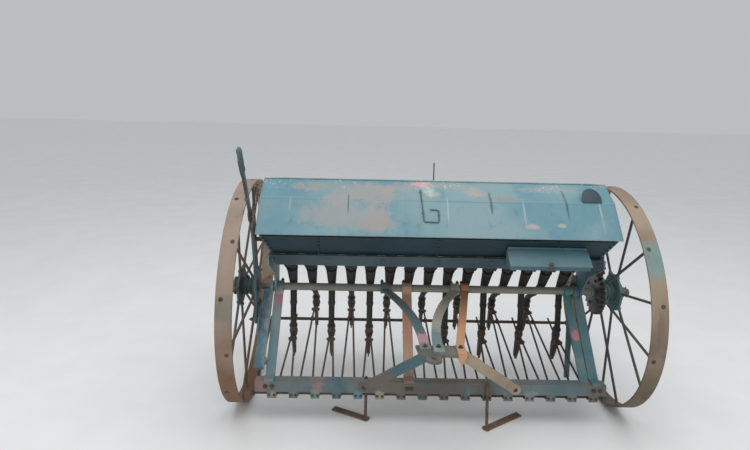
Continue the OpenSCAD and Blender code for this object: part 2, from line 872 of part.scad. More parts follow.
// Lid: one folded sheet with a ridge and two creases, hinged behind
module hopper_lid() {
    t = lid_t;
    color("skyblue") placed()
        difference() {
            union() {
                slab(-lid_half, lid_half, [
                    eave_front, crease_front, ridge, crease_rear, eave_rear,
                    eave_rear + [-t * 1.3, 0], crease_rear + [-t * 0.8, -t * 0.8], ridge + [0, -t],
                    crease_front + [t * 0.8, -t * 0.8], eave_front + [t * 1.3, 0]
                ]);
                for (x = lid_hinges)
                    difference() {
                        union() {
                            bar_x(x - 12, x + 12, lid_pin_y, lid_pin_z, 16);
                            slab(x - 12, x + 12, [
                                eave_rear + [-2, -4], [lid_pin_y, lid_pin_z + 2],
                                [lid_pin_y, lid_pin_z + 8], eave_rear + [-2, 6]
                            ]);
                        }
                        bar_x(x - 13, x + 13, lid_pin_y, lid_pin_z, 9);
                    }
            }
        }
}

// Upright plate on a folded foot, and a bent wire handle, both on the lid
module lid_fittings() {
    face = eave_front - crease_front;
    up = (ridge - crease_front) / norm(ridge - crease_front);
    n = [-up[1], up[0]];
    px = plaque_x;
    a = crease_front + up * 6 + n * seat;
    b = a + up * 26;
    grip = [
        // x, share of the way down the front face
        [grip_x, 0.05], [grip_x + 2, 0.62], [grip_x + 72, 0.62], [grip_x + 72, 0.45]
    ];
    color("darkslategray") placed()
        intersection() {
            slab(px - 54, px + 54, [
                a, b, b + n * 4, a + up * 10 + n * 4, a + [7, 96], a + [1, 96]
            ]);
            translate([px, a[0] + 60, a[1] + 34])
                rotate([90, 0, 0])
                    cylinder(r = 60, h = 90);
        }
    out = [face[1], -face[0]] / norm(face) * (2.7 + seat);
    color("sienna") placed()
        for (i = [0:len(grip) - 2]) {
            p = crease_front + face * grip[i][1] + out;
            q = crease_front + face * grip[i + 1][1] + out;
            rod([grip[i][0], p[0], p[1]], [grip[i + 1][0], q[0], q[1]], i == 1 ? 5.4 : 5);
        }
    // thin rod that stands on the rear slope, on a small foot
    fall = eave_rear - crease_rear;
    m = crease_rear + fall * 0.44;
    away = [-fall[1], fall[0]] / norm(fall);
    color("sienna") placed() {
        slab(pin_rod_x - 14, pin_rod_x + 14, [
            m + away * seat - unit(fall) * 16, m + away * seat + unit(fall) * 16,
            m + away * 5 + unit(fall) * 16, m + away * 5 - unit(fall) * 16
        ]);
        rod([pin_rod_x, m[0] + away[0] * 3, m[1] + away[1] * 3],
            [pin_rod_x, m[0] + away[0] * 3, m[1] + pin_rod_len], 7);
    }
}

// Toolbox: a tray on the hopper's front wall, with the pin that its lid turns on
module toolbox() {
    t = 3;
    back = rail_front_y - rail_t - seat;
    front = box_edge[0] + 8;
    low = box_edge[1] - 32;
    color("steelblue") placed() {
        difference() {
            slab(box_x0, box_x1, [
                [box_top[0] + 3, box_top[1] - 9], [front, box_edge[1] - 6], [front, low],
                [back, low], [back, knee_z + 26], [front_wall_y(box_top[1] - 12), box_top[1] - 12]
            ]);
            slab(box_x0 + t, box_x1 - t, [
                [box_top[0] + 2, box_top[1] + 20], [front + t, box_edge[1] + 60],
                [front + t, low + t], [back - t, low + t], [back - t, knee_z + 24],
                [front_wall_y(box_top[1] - 13) - t, box_top[1] - 13]
            ]);
        }
        for (x = [box_x0, box_x1 - t])
            slab(x, x + t, [
                box_top + [-4, 3], box_top + [4, 3], box_top + [3, -12], box_top + [-6, -14]
            ]);
        bar_x(box_x0, box_x1, box_top[0], box_top[1], box_pin);
    }
}

// Toolbox lid: a sheet with a rolled edge on the pin, and a lip over the front
module toolbox_lid() {
    v = (box_edge - box_top) / norm(box_edge - box_top);
    n = [v[1], -v[0]];
    run = norm(box_edge - box_top) + 8;
    x0 = box_x0 + 3.5;
    x1 = box_x1 - 3.5;
    color("deepskyblue") placed()
        difference() {
            union() {
                bar_x(x0, x1, box_top[0], box_top[1], box_pin + 5);
                slab(x0, x1, [
                    box_top - n * 2.5, box_top + v * 20 - n * 2.5,
                    box_top + v * 20 - n * 5.5, box_top - n * 5.5
                ]);
                slab(box_x0 - 5, box_x1 + 5, [
                    box_top + v * 18 - n * 2.5, box_top + v * run - n * 2.5,
                    box_top + v * run - n * 5.5, box_top + v * 18 - n * 5.5
                ]);
            }
            bar_x(x0 - 1, x1 + 1, box_top[0], box_top[1], box_pin + 2 * seat);
        }
}

// Feed cups under the floor, each with a spout
module feed_cups() {
    top = floor_z - wall_t;
    color("dimgray") placed()
        for (x = row_x)
            difference() {
                union() {
                    bar_x(x - cup_w / 2, x + cup_w / 2, shaft_y, cup_z, 2 * cup_r);
                    translate([x - cup_w / 2, floor_y - 34, cup_z])
                        cube([cup_w, 68, top - cup_z]);
                    rod([x, shaft_y, cup_z], [x, spout_end[0], spout_end[1]], spout_d);
                    bar_x(x - cup_w / 2 - 9, x + cup_w / 2 + 9, shaft_y, cup_z, shaft_d + 22);
                    // flanges of the cup, and the housing of its slide in front
                    for (s = [-1, 1])
                        bar_x(x + s * (cup_w / 2 - 4) - 3, x + s * (cup_w / 2 - 4) + 3,
                            shaft_y, cup_z, 2 * cup_r + 5);
                    translate([x - 17, shaft_y - cup_r - 7, cup_z - 6])
                        cube([34, 30, cup_r + 6]);
                }
                bar_x(x - cup_w, x + cup_w, shaft_y, cup_z, shaft_d + 3);
            }
}

// where the mouth of a coulter's socket lies when the arms are lifted
function socket(len, up) = [
    hinge_y + len * cos(lifted) - up * sin(lifted),
    hinge_z + len * sin(lifted) + up * cos(lifted)
];
function arm_len(i) = i % 2 == 0 ? arm_short : arm_long;

// Seed tubes from the spouts to the coulters' sockets: a funnel, and two sliding tubes
module seed_tubes() {
    mid_d = (tube_d + tube_low_d) / 2;
    color("darkolivegreen") placed()
        for (i = [0:row_count - 1]) {
            x = row_x[i];
            low = socket(arm_len(i), 44);
            neck = socket(arm_len(i), 78);
            top = spout_end + seat * spout_dir;
            knee = [x, tube_knee[0], tube_knee[1]];
            end = [x, neck[0], neck[1]];
            mid = knee + (end - knee) * 0.52;
            taper([x, top[0], top[1]], knee, tube_d + 14, tube_d);
            translate(knee)
                sphere(d = tube_d + 3);
            rod(knee, mid, mid_d);
            rod(mid - unit(end - knee) * 12, mid + unit(end - knee) * 4, mid_d + 5);
            rod(mid, end, tube_low_d);
            translate(end)
                sphere(d = tube_low_d + 3);
            rod(end, [x, low[0], low[1]], tube_low_d);
        }
}

// Wheel: flat rim, round spokes to two hub flanges in turn, and the hub
module wheel(side) {
    difference() {
        union() {
            translate([side * track_half, 0, axle_z])
                rotate([0, 90, 0])
                    difference() {
                        cylinder(r = wheel_r, h = rim_w, center = true, $fn = 120);
                        cylinder(r = wheel_r - rim_t, h = rim_w + 2, center = true, $fn = 120);
                    }
            for (x = [hub_in, hub_out])
                translate([side * x, 0, axle_z])
                    rotate([0, 90, 0])
                        cylinder(r = hub_flange_r, h = hub_flange_t, center = true);
            bar_x(side < 0 ? -hub_x1 : hub_start[1], side < 0 ? -hub_start[0] : hub_x1,
                0, axle_z, 2 * hub_r);
            for (k = [0:spoke_count - 1]) {
                a = (k + 0.5) * 360 / spoke_count;
                out = k % 2 == 0 ? 1 : -1;
                r0 = hub_flange_r - 16;
                r1 = wheel_r - rim_t / 2;
                flange = side * (track_half + out * hub_flange_gap / 2);
                tread = side * (track_half + out * spoke_set);
                rod([flange, r0 * cos(a), axle_z + r0 * sin(a)],
                    [tread, r1 * cos(a), axle_z + r1 * sin(a)], spoke_d);
            }
        }
        bar_x(-stub_end - 20, stub_end + 20, 0, axle_z, stub_d + 2 * run_gap);
        // what would stand proud of the tread
        translate([side * track_half, 0, axle_z])
            rotate([0, 90, 0])
                difference() {
                    cylinder(r = wheel_r + 20, h = rim_w, center = true, $fn = 120);
                    cylinder(r = wheel_r, h = rim_w + 2, center = true, $fn = 120);
                }
    }
}

module wheel_left() {
    color("rosybrown") placed()
        wheel(-1);
}

module wheel_right() {
    color("tan") placed()
        wheel(1);
}

// outline of a cast spur gear with straight-sided teeth
module gear_outline(teeth, radius, turn) {
    pitch_angle = 360 / teeth;
    root = radius - gear_module * 1.05;
    tip = radius + gear_module * 0.8;
    union() {
        circle(r = root + 1);
        for (k = [0:teeth - 1])
            rotate(turn + k * pitch_angle)
                polygon([
                    [root - 2, -gear_module * 0.98], [radius, -gear_module * 0.68],
                    [tip, -gear_module * 0.34], [tip, gear_module * 0.34],
                    [radius, gear_module * 0.68], [root - 2, gear_module * 0.98]
                ]);
    }
}

// turn of the gears so that a tooth meets a gap on the line between their axes
mesh_angle = atan2(shaft_z - axle_z, shaft_y);

module drive_gear() {
    color("dimgray") placed()
        difference() {
            translate([gear_x0, 0, axle_z])
                rotate([90, 0, 90])
                    linear_extrude(gear_w)
                        gear_outline(gear_teeth, gear_r, mesh_angle);
            bar_x(gear_x0 - 1, gear_x1 + 1, 0, axle_z, 2 * hub_r + 2 * seat);
        }
}

module sow_pinion() {
    color("saddlebrown") placed()
        difference() {
            translate([gear_x0, shaft_y, shaft_z])
                rotate([90, 0, 90])
                    linear_extrude(gear_w - 6)
                        gear_outline(pinion_teeth, pinion_r,
                            mesh_angle + 180 + 180 / pinion_teeth);
            bar_x(gear_x0 - 1, gear_x1 + 1, shaft_y, shaft_z, shaft_d + 2 * seat);
        }
}

module sow_shaft() {
    color("gray") placed() {
        bar_x(-plate_x - plate_t - 30, gear_x1 - 6, shaft_y, shaft_z, shaft_d);
        for (x = [-plate_x - plate_t - 24, plate_x + plate_t + 12])
            bar_x(x, x + 12, shaft_y, shaft_z, shaft_d + 16);
    }
}

// Lift lever: cranked forward above the hopper, with a short arm behind its pivot
module lift_lever() {
    shape = [
        // y and z from the pivot, as shares of the lever's length
        [0, 0], [-0.0187, 0.1234], [-0.0467, 0.3009], [-0.1243, 0.5215], [-0.2636, 0.7159],
        [-0.4103, 0.9121]
    ];
    grip = [for (p = shape) [lever_y, lever_z] + lever_len * p];
    color("cadetblue") placed()
        difference() {
            union() {
                strip(lever_x - lever_t, lever_x, grip, 30, 31);
                strip(lever_x - lever_t, lever_x, [[crank_y, crank_z], [lever_y, lever_z]], 28, 46);
                bar_x(lever_x - lever_t, lever_x + 12, crank_y, crank_z, 12);
            }
            bar_x(lever_x - 30, lever_x + 1, lever_y, lever_z, 20 + 2 * run_gap);
        }
}

// Lift link: hangs from the lever's short arm and holds the bail up
module lift_link() {
    low = socket(bail_pin_y, bail_pin_z);
    up = low + link_float * unit([crank_y, crank_z] - low);
    color("slategray") placed()
        difference() {
            union() {
                strip(lever_x + 3.7, lever_x + 11.7, [[crank_y, crank_z], low], 20, 30);
                strip(lever_x + 3.7, lever_x + 11.7, [low, up], 33, 34);
            }
            bar_x(lever_x, lever_x + 14, crank_y, crank_z, 12 + 2 * run_gap);
            // the pin slides up this slot when the coulters reach the ground
            strip(lever_x, lever_x + 14, [low, up], 18.4, 18.6);
        }
}

// Lift bail: two end arms on the hinge rod with a cross rod under the drag arms
module lift_bail() {
    color("gray") placed()
        translate([0, hinge_y, hinge_z])
            rotate([lifted, 0, 0])
                difference() {
                    union() {
                        for (x = [bail_left - 10, bail_right])
                            strip(x, x + 10, [
                                [0, 0], [90, -bail_drop], [bail_reach, -bail_drop]
                            ], 24, 29);
                        bar_x(bail_left - 10, bail_right + 10, bail_reach, -bail_drop, bail_d);
                        strip(bail_left - 10, bail_left, [
                            [bail_pin_y, bail_pin_z], [bail_pin_y, -bail_drop]
                        ], 20, 23);
                        bar_x(bail_left - 20, bail_left, bail_pin_y, bail_pin_z, 11);
                    }
                    for (x = [bail_left - 11, bail_right - 1])
                        bar_x(x, x + 12, 0, 0, hinge_d + 2 * run_gap);
                }
}

// Coulter: two rods from the hinge to a boot with a knife edge and a seed socket; the short
// ones have a tail that rests on the bail
module coulter(i) {
    len = arm_len(i);
    tip = i % 2 == 0 ? tip_short : tip_long;
    translate([row_x[i], hinge_y, hinge_z])
        rotate([lifted, 0, 0])
            difference() {
                union() {
                    for (s = [-1, 1]) {
                        bar_x(s * eye_half - 7, s * eye_half + 7, 0, 0, hinge_d + 14);
                        rod([s * eye_half, 0, 0], [s * 8, len, 0], arm_d);
                    }
                    if (len < bail_reach)
                        rod([0, len, 0], [0, bail_reach + 20, 0], arm_d);
                    // spacer between the rods, the boot, and its knife edge in front
                    slab(-14, 14, [
                        [len - 66, -8], [len - 40, -9], [len - 40, 9], [len - 66, 8]
                    ]);
                    slab(-10, 10, [
                        [len - 28, 12], [len + 23, 12], [len + 25, -66], [len + 14, -tip + 34],
                        [len + 2, -tip + 12], [len - 12, -tip + 30], [len - 22, -70]
                    ]);
                    slab(-4, 4, [
                        [len - 36, 10], [len - 20, 10], [len + 2, -tip + 20], [len - 8, -tip],
                        [len - 24, -tip + 16], [len - 46, -72]
                    ]);
                    translate([0, len, -12])
                        cylinder(d = tube_low_d + 8, h = 68);
                    translate([0, len, 50])
                        cylinder(d = tube_low_d + 14, h = 9);
                }
                for (s = [-1, 1])
                    bar_x(s * eye_half - 8, s * eye_half + 8, 0, 0, hinge_d + 1);
                translate([0, len, 44 - seat])
                    cylinder(d = tube_low_d + 2 * seat, h = 30);
            }
}

module coulter_part(i) {
    color("saddlebrown") placed()
        coulter(i);
}

axle();
side_frame_left();
side_frame_right();
front_beam();
hinge_rod();
centre_post();
hitch_bar_left();
hitch_bar_right();
lower_stays();
hitch_plate();
tongue_bar();
parking_feet();
front_rail();
rear_rail();
hopper_front();
hopper_rear();
hopper_floor();
hopper_ends();
catch_bar();
toolbox();
feed_cups();
seed_tubes();
wheel_left();
wheel_right();
drive_gear();
sow_shaft();
sow_pinion();
hopper_lid();
lid_fittings();
toolbox_lid();
lift_lever();
lift_link();
lift_bail();
for (i = [1:row_count])
    coulter_part(i - 1);
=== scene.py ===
"""Looks of the seed drill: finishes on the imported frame, and the small pieces that dress it.

Places are in millimetres, those of part.scad with the axle over Y = 0, and at() turns them into
metres in the shared frame. Finishes, lights and Blender's own calls take metres.
"""

import math

import bmesh
import bpy
from mathutils import Matrix, Vector


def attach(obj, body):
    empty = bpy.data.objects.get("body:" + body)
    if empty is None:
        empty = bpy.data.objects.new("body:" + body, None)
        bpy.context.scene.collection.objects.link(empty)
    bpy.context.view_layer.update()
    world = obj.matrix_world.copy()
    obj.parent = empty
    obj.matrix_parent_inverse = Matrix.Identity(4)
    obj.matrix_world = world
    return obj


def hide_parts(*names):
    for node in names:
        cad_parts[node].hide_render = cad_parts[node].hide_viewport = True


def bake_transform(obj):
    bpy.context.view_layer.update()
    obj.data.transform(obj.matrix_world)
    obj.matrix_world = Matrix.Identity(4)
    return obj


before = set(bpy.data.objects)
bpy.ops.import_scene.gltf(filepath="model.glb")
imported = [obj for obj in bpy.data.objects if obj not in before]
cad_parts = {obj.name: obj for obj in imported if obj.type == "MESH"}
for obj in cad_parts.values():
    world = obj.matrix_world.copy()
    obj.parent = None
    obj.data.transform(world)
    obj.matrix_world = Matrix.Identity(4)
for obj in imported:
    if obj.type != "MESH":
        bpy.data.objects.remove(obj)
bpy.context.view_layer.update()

MM = 0.001
ORIGIN_Y = 95.5            # part.scad's origin_y
AXLE_Z = 610
TRACK_HALF = 1027
SPOKES = 14
HUB_GAP = 88
ROWS = 15
ROW_PITCH = 112
HINGE = (-330, 150)
LIFTED = math.radians(18.5)
ARM_SHORT = 454
ARM_LONG = 717
SHAFT = (-50, 782.9)
SPOUT_END = (-10.3, 727.7)
KNEE = (80, 602)
BEAM_Y = -356
STAY_LEFT, STAY_RIGHT = -363, 424
MID_POST = -127
HITCH_LEFT, HITCH_RIGHT = -252, 149
HITCH_Y = -765
TONGUE_X = 204
RAIL_FRONT, RAIL_REAR = -329.3, 35.3
KNEE_F = (-305.3, 888)
MOUTH_F = (-385, 999.9)
RIDGE = (-147, 1256.9)
CREASE_F = (-289, 1176.9)
CREASE_R = (-5, 1176.9)
EAVE_F = (-415, 1013.9)
EAVE_R = (121, 1013.9)
LID_HALF = 917
PLAQUE_X = 800
BOX_X = (352, 754)
BOX_MIDDLE = sum(BOX_X) / 2
BOX_TOP = (-360.2, 954.9)
BOX_EDGE = (-438.2, 892.9)
END_RIVETS = 840           # the rivets at the ends of the front wall, beside the knee
END_FLARE = 52             # how much further out the wall's ends are at the mouth
WALL_RUN = 137             # from the knee to the mouth, along the wall
LEVER_X = -960


def at(x, y, z):
    """A point of part.scad, in metres in the shared frame."""
    return Vector((x * MM, (y + ORIGIN_Y) * MM, z * MM))


def added(name, data):
    """A new object in the scene."""
    obj = bpy.data.objects.new(name, data)
    bpy.context.scene.collection.objects.link(obj)
    return obj


# Camera
def aim_camera():
    """The photograph's standpoint: a little to the left, looking slightly down."""
    data = bpy.data.cameras.new("viewpoint")
    camera = added("viewpoint", data)
    right = Vector((0.99960106, -0.01589079, 0.02334942))
    up = Vector((-0.02176049, 0.09372002, 0.99536076))
    ahead = Vector((0.01800538, 0.99547177, -0.09333684))
    turn = Matrix((right, up, -ahead)).transposed()
    camera.matrix_world = Matrix.Translation(at(-384.6, -3159.4, 1700.7)) @ turn.to_4x4()
    data.sensor_width = 36
    data.lens = 27.13
    data.shift_y = -0.1
    bpy.context.scene.camera = camera


aim_camera()


# Materials
class Finish:
    """Builds one node material on Object coordinates."""

    def __init__(self, name):
        self.material = bpy.data.materials.new(name)
        self.material.use_nodes = True
        self.tree = self.material.node_tree
        self.tree.nodes.clear()
        self.place = self.node("ShaderNodeTexCoord").outputs["Object"]
        self.shader = self.node("ShaderNodeBsdfPrincipled")
        out = self.node("ShaderNodeOutputMaterial")
        self.tree.links.new(self.shader.outputs["BSDF"], out.inputs["Surface"])

    def node(self, kind, **settings):
        made = self.tree.nodes.new(kind)
        for key, value in settings.items():
            setattr(made, key, value)
        return made

    def join(self, source, socket):
        if isinstance(source, (int, float)):
            socket.default_value = source
        elif isinstance(source, tuple):
            socket.default_value = (*source, 1)[:4] if len(socket.default_value) == 4 else source
        else:
            self.tree.links.new(source, socket)

    def stretched(self, scale, offset=(0, 0, 0)):
        moved = self.node("ShaderNodeMapping")
        moved.inputs["Scale"].default_value = scale
        moved.inputs["Location"].default_value = offset
        self.join(self.place, moved.inputs["Vector"])
        return moved.outputs["Vector"]

    def noise(self, scale, detail=4, rough=0.55, stretch=(1, 1, 1), offset=(0, 0, 0)):
        made = self.node("ShaderNodeTexNoise")
        self.join(self.stretched(stretch, offset), made.inputs["Vector"])
        made.inputs["Scale"].default_value = scale
        made.inputs["Detail"].default_value = detail
        made.inputs["Roughness"].default_value = rough
        return made.outputs["Fac"]

    def band(self, value, low, high, out_low=0.0, out_high=1.0):
        """value, made 0 to 1 between low and high with soft ends."""
        made = self.node("ShaderNodeMapRange", interpolation_type="SMOOTHSTEP")
        self.join(value, made.inputs["Value"])
        for key, number in (("From Min", low), ("From Max", high),
                            ("To Min", out_low), ("To Max", out_high)):
            made.inputs[key].default_value = number
        return made.outputs["Result"]

    def maths(self, kind, a, b=0.0):
        made = self.node("ShaderNodeMath", operation=kind)
        self.join(a, made.inputs[0])
        self.join(b, made.inputs[1])
        return made.outputs["Value"]

    def mix(self, share, a, b):
        made = self.node("ShaderNodeMix", data_type="RGBA")
        self.join(share, made.inputs["Factor"])
        self.join(a, made.inputs["A"])
        self.join(b, made.inputs["B"])
        return made.outputs["Result"]

    def axis(self, name):
        made = self.node("ShaderNodeSeparateXYZ")
        self.join(self.place, made.inputs["Vector"])
        return made.outputs[name]

    def edges(self, radius=0.006):
        """1 along the outer and inner corners of a shape."""
        soft = self.node("ShaderNodeBevel", samples=4)
        soft.inputs["Radius"].default_value = radius
        true = self.node("ShaderNodeNewGeometry")
        dot = self.node("ShaderNodeVectorMath", operation="DOT_PRODUCT")
        self.join(soft.outputs["Normal"], dot.inputs[0])
        self.join(true.outputs["Normal"], dot.inputs[1])
        return self.band(dot.outputs["Value"], 0.985, 0.90)

    def finish(self, colour, rough, bump=None, strength=0.3, depth=0.002, metal=0.0):
        self.join(colour, self.shader.inputs["Base Color"])
        self.join(rough, self.shader.inputs["Roughness"])
        self.shader.inputs["Metallic"].default_value = metal
        if bump is not None:
            made = self.node("ShaderNodeBump")
            made.inputs["Strength"].default_value = strength
            made.inputs["Distance"].default_value = depth
            self.join(bump, made.inputs["Height"])
            self.join(made.outputs["Normal"], self.shader.inputs["Normal"])
        return self.material


RUST = (0.115, 0.045, 0.022)
RUST_DARK = (0.045, 0.026, 0.018)
RUST_BRIGHT = (0.29, 0.095, 0.032)
DUST = (0.30, 0.26, 0.21)


def worn_paint(name, paint, faded, under, rust=0.45, chips=0.4, gloss=0.5, seed=0.0,
               spots=(), dust=0.3, waves=0.0, specks=None, skin=()):
    """Old brushed paint: sun-bleached patches, primer showing at chips, rust from the edges.

    spots are (x, y, z, half x, half y, half z, colour) in metres, blurred patches of another colour.
    skin is planes as (y, z, distance), a sheet's outer faces. The specks, and the spots that have a
    half x, then stay on that side of the sheet.
    paint and faded may be functions that build a colour of places. waves is how far beaten sheet
    bulges, specks a height band of scraped pink and white specks.
    """
    f = Finish(name)
    paint = paint(f) if callable(paint) else paint
    faded = faded(f) if callable(faded) else faded
    off = (seed * 3.1, seed * 1.7, seed * 2.3)
    broad = f.noise(2.2, 3, offset=off)
    cloudy = f.noise(7, 5, offset=off)
    grain = f.noise(90, 4, 0.6, offset=off)
    flow = f.noise(9, 3, stretch=(3, 3, 0.5), offset=off)
    colour = f.mix(f.band(broad, 0.42, 0.62), paint, faded)
    colour = f.mix(f.band(cloudy, 0.50, 0.72, 0, 0.55), colour, faded)
    colour = f.mix(f.band(flow, 0.55, 0.8, 0, 0.22), colour, (0.01, 0.012, 0.014))
    wash = f.noise(24, 4, 0.6, stretch=(1, 1, 0.12), offset=(off[1], off[0], off[2]))
    colour = f.mix(f.band(wash, 0.56, 0.70, 0, 0.28), colour, faded)
    ragged = f.noise(26, 6, 0.7, offset=off)
    depth = None
    for y, z, distance in skin:
        above = f.maths("ADD", f.maths("MULTIPLY", f.axis("Y"), y), f.maths("MULTIPLY", f.axis("Z"), z))
        above = f.maths("SUBTRACT", above, distance)
        depth = above if depth is None else f.maths("MAXIMUM", depth, above)
    for x, y, z, hx, hy, hz, tint in spots:
        slim = min(h for h in (hx, hy, hz) if h is not None) < 0.012
        far = f.maths("ADD", f.maths("MULTIPLY", f.maths("SUBTRACT", cloudy, 0.5), 2.0 if slim else 4.5),
                      f.maths("MULTIPLY", f.maths("SUBTRACT", ragged, 0.5), 1.5 if slim else 3.0))
        if depth is not None and hx is not None:
            far = f.maths("ADD", far, f.band(depth, -0.0010, -0.0018, 0, 9))
        for axis, centre, half in (("X", x, hx), ("Y", y, hy), ("Z", z, hz)):
            if half is not None:
                away = f.maths("DIVIDE", f.maths("SUBTRACT", f.axis(axis), centre), half)
                far = f.maths("ADD", far, f.maths("MULTIPLY", away, away))
        colour = f.mix(f.band(far, 1.25, 0.1, 0, 0.8), colour, tint)
    if specks:
        high = f.band(f.axis("Z"), specks[0], specks[1])
        if depth is not None:
            high = f.maths("MULTIPLY", high, f.band(depth, -0.0018, -0.0010))
        group = f.band(f.noise(5, 3, offset=(off[2], off[0], off[1])), 0.46, 0.60)
        dots = f.band(f.noise(70, 3, 0.6, offset=(off[1], off[0], off[2])), 0.60, 0.66)
        tint = f.mix(f.band(broad, 0.45, 0.55), (0.70, 0.30, 0.36), (0.66, 0.63, 0.58))
        colour = f.mix(f.maths("MULTIPLY", f.maths("MULTIPLY", high, group), dots), colour, tint)
    corner = f.edges()
    flake = f.noise(34, 6, 0.7, offset=(off[1], off[2], off[0]))
    bare = f.maths("ADD", f.band(flake, 0.70 - 0.12 * chips, 0.78 - 0.12 * chips),
                   f.maths("MULTIPLY", corner, f.band(flake, 0.40, 0.60)))
    bare = f.maths("MINIMUM", bare, 1.0)
    colour = f.mix(bare, colour, under)
    scab = f.noise(14, 7, 0.68, offset=(off[2], off[0], off[1]))
    rusty = f.band(scab, 0.78 - 0.30 * rust, 0.88 - 0.30 * rust)
    rusty = f.maths("MAXIMUM", rusty,
                    f.maths("MULTIPLY", corner, f.band(scab, 0.62 - 0.2 * rust, 0.72 - 0.2 * rust)))
    tone = f.mix(f.band(grain, 0.35, 0.7), RUST_DARK, RUST)
    tone = f.mix(f.band(cloudy, 0.55, 0.75, 0, 0.7), tone, RUST_BRIGHT)
    colour = f.mix(rusty, colour, tone)
    if dust:
        up = f.node("ShaderNodeNewGeometry").outputs["Normal"]
        part = f.node("ShaderNodeSeparateXYZ")
        f.join(up, part.inputs["Vector"])
        lie = f.maths("MULTIPLY", f.band(part.outputs["Z"], 0.3, 0.95), f.band(cloudy, 0.35, 0.7, 0, dust))
        colour = f.mix(lie, colour, DUST)
    rough = f.maths("ADD", f.maths("MULTIPLY", rusty, 0.35), f.band(grain, 0.3, 0.7, gloss, gloss + 0.15))
    coarse = f.maths("ADD", f.maths("MULTIPLY", rusty, 0.9), 0.18)
    relief = f.maths("SUBTRACT", f.maths("MULTIPLY", grain, coarse), f.maths("MULTIPLY", bare, 0.25))
    if waves:
        relief = f.maths("ADD", relief, f.maths("MULTIPLY", f.noise(3.2, 2, offset=off), waves))
    return f.finish(colour, rough, relief, 0.45, 0.0015)


def rusty_iron(name, base, bright, dark, seed=0.0, rough=0.85, greasy=0.0, scale=1.0):
    """Bare iron with an even coat of old rust, pitted, darker where grease sits."""
    f = Finish(name)
    base = base(f) if callable(base) else base
    dark = dark(f) if callable(dark) else dark
    off = (seed * 2.9, seed * 1.3, seed * 3.7)
    cloudy = f.noise(6 * scale, 5, 0.6, offset=off)
    pits = f.noise(60 * scale, 6, 0.7, offset=off)
    fine = f.noise(240 * scale, 3, offset=off)
    colour = f.mix(f.band(cloudy, 0.35, 0.65), dark, base)
    colour = f.mix(f.band(pits, 0.52, 0.72), colour, bright)
    colour = f.mix(f.maths("MULTIPLY", f.edges(0.004), 0.35), colour, bright)
    if greasy:
        colour = f.mix(f.band(cloudy, 0.5, 0.35, 0, greasy), colour, (0.012, 0.012, 0.012))
    gloss = f.band(cloudy, 0.3, 0.7, rough - 0.35 * greasy - 0.05, rough + 0.05)
    relief = f.maths("ADD", pits, f.maths("MULTIPLY", fine, 0.3))
    return f.finish(colour, gloss, relief, 0.6, 0.002)


PINK = (0.66, 0.20, 0.26)
MY = MM * ORIGIN_Y


def wheel_zones(rim, low, spoke, hub, patch=None):
    """A colour for the hub, the spokes and the rim, the rim's lower part in another one.

    patch is (z, half height, colour) of old paint left on the rim.
    """
    def build(f):
        y = f.maths("SUBTRACT", f.axis("Y"), MY)
        z = f.maths("SUBTRACT", f.axis("Z"), MM * AXLE_Z)
        radius = f.maths("SQRT", f.maths("ADD", f.maths("MULTIPLY", y, y), f.maths("MULTIPLY", z, z)))
        stain = f.noise(5, 4, offset=(3, 1, 2))
        height = f.maths("ADD", f.axis("Z"), f.maths("MULTIPLY", f.maths("SUBTRACT", stain, 0.5), 0.7))
        tyre = f.mix(f.band(height, 0.75, 0.25), rim, low)
        if patch:
            far = f.maths("DIVIDE", f.maths("SUBTRACT", f.axis("Z"), patch[0]), patch[1])
            far = f.maths("ADD", f.maths("MULTIPLY", far, far),
                          f.maths("MULTIPLY", f.maths("SUBTRACT", stain, 0.5), 4.0))
            tyre = f.mix(f.band(far, 1.2, 0.2, 0, 0.75), tyre, patch[2])
        colour = f.mix(f.band(radius, 0.583, 0.590), spoke, tyre)
        return f.mix(f.band(radius, 0.150, 0.112), colour, hub)
    return build


def across(left, right, start=-0.2, end=0.35, wander=0.8):
    """A colour that turns from left to right over the drill's length."""
    def build(f):
        stray = f.maths("MULTIPLY", f.maths("SUBTRACT", f.noise(4, 3), 0.5), wander)
        place = f.maths("ADD", f.axis("X"), stray)
        return f.mix(f.band(place, start, end), left, right)
    return build


def lid_spots():
    """Faded, scratched and dripped places on the lid, and a painted highlight and painted shade along the
    crease: x, z and half sizes in mm.
    """
    marks = [
        # x, z, half x, half z, colour
        # the thin lighter line just above the crease and the darker one just below it are a painted
        # highlight and painted shade along the fold
        (0, 1178, None, 2.2, (0.165, 0.280, 0.310)),
        (0, 1172, None, 2.6, (0.095, 0.222, 0.266)),
        (-470, 1110, 300, 85, (0.285, 0.290, 0.285)),
        (-380, 1190, 270, 60, (0.315, 0.290, 0.275)),
        (-620, 1225, 120, 30, (0.290, 0.280, 0.265)),
        (-190, 1222, 110, 26, (0.340, 0.290, 0.265)),
        (-330, 1060, 160, 45, (0.310, 0.270, 0.250)),
        (60, 1235, 300, 12, (0.270, 0.300, 0.300)),
        (-45, 1212, 62, 26, (0.560, 0.540, 0.440)),
        (-80, 1243, 60, 9, (0.640, 0.300, 0.330)),
        (200, 1216, 80, 26, (0.380, 0.330, 0.280)),
        (330, 1188, 130, 7, (0.300, 0.230, 0.190)),
        (600, 1230, 180, 16, (0.260, 0.310, 0.320)),
        (-760, 1150, 7, 40, (0.360, 0.320, 0.260)),
        (47, 1120, 5, 75, (0.330, 0.400, 0.380)),
        (439, 1125, 5, 65, (0.330, 0.400, 0.380)),
        (835, 1110, 6, 80, (0.330, 0.400, 0.380)),
        (470, 1068, 40, 12, (0.420, 0.330, 0.320)),
        (620, 1075, 22, 9, (0.440, 0.350, 0.340)),
        (-463, 1155, 5, 55, (0.040, 0.085, 0.105)),
        (272, 1172, 8, 60, (0.040, 0.085, 0.105)),
        (664, 1168, 8, 78, (0.040, 0.085, 0.105)),
    ]
    return [(x * MM, 0, z * MM, hx and hx * MM, None, hz * MM, c) for x, z, hx, hz, c in marks]


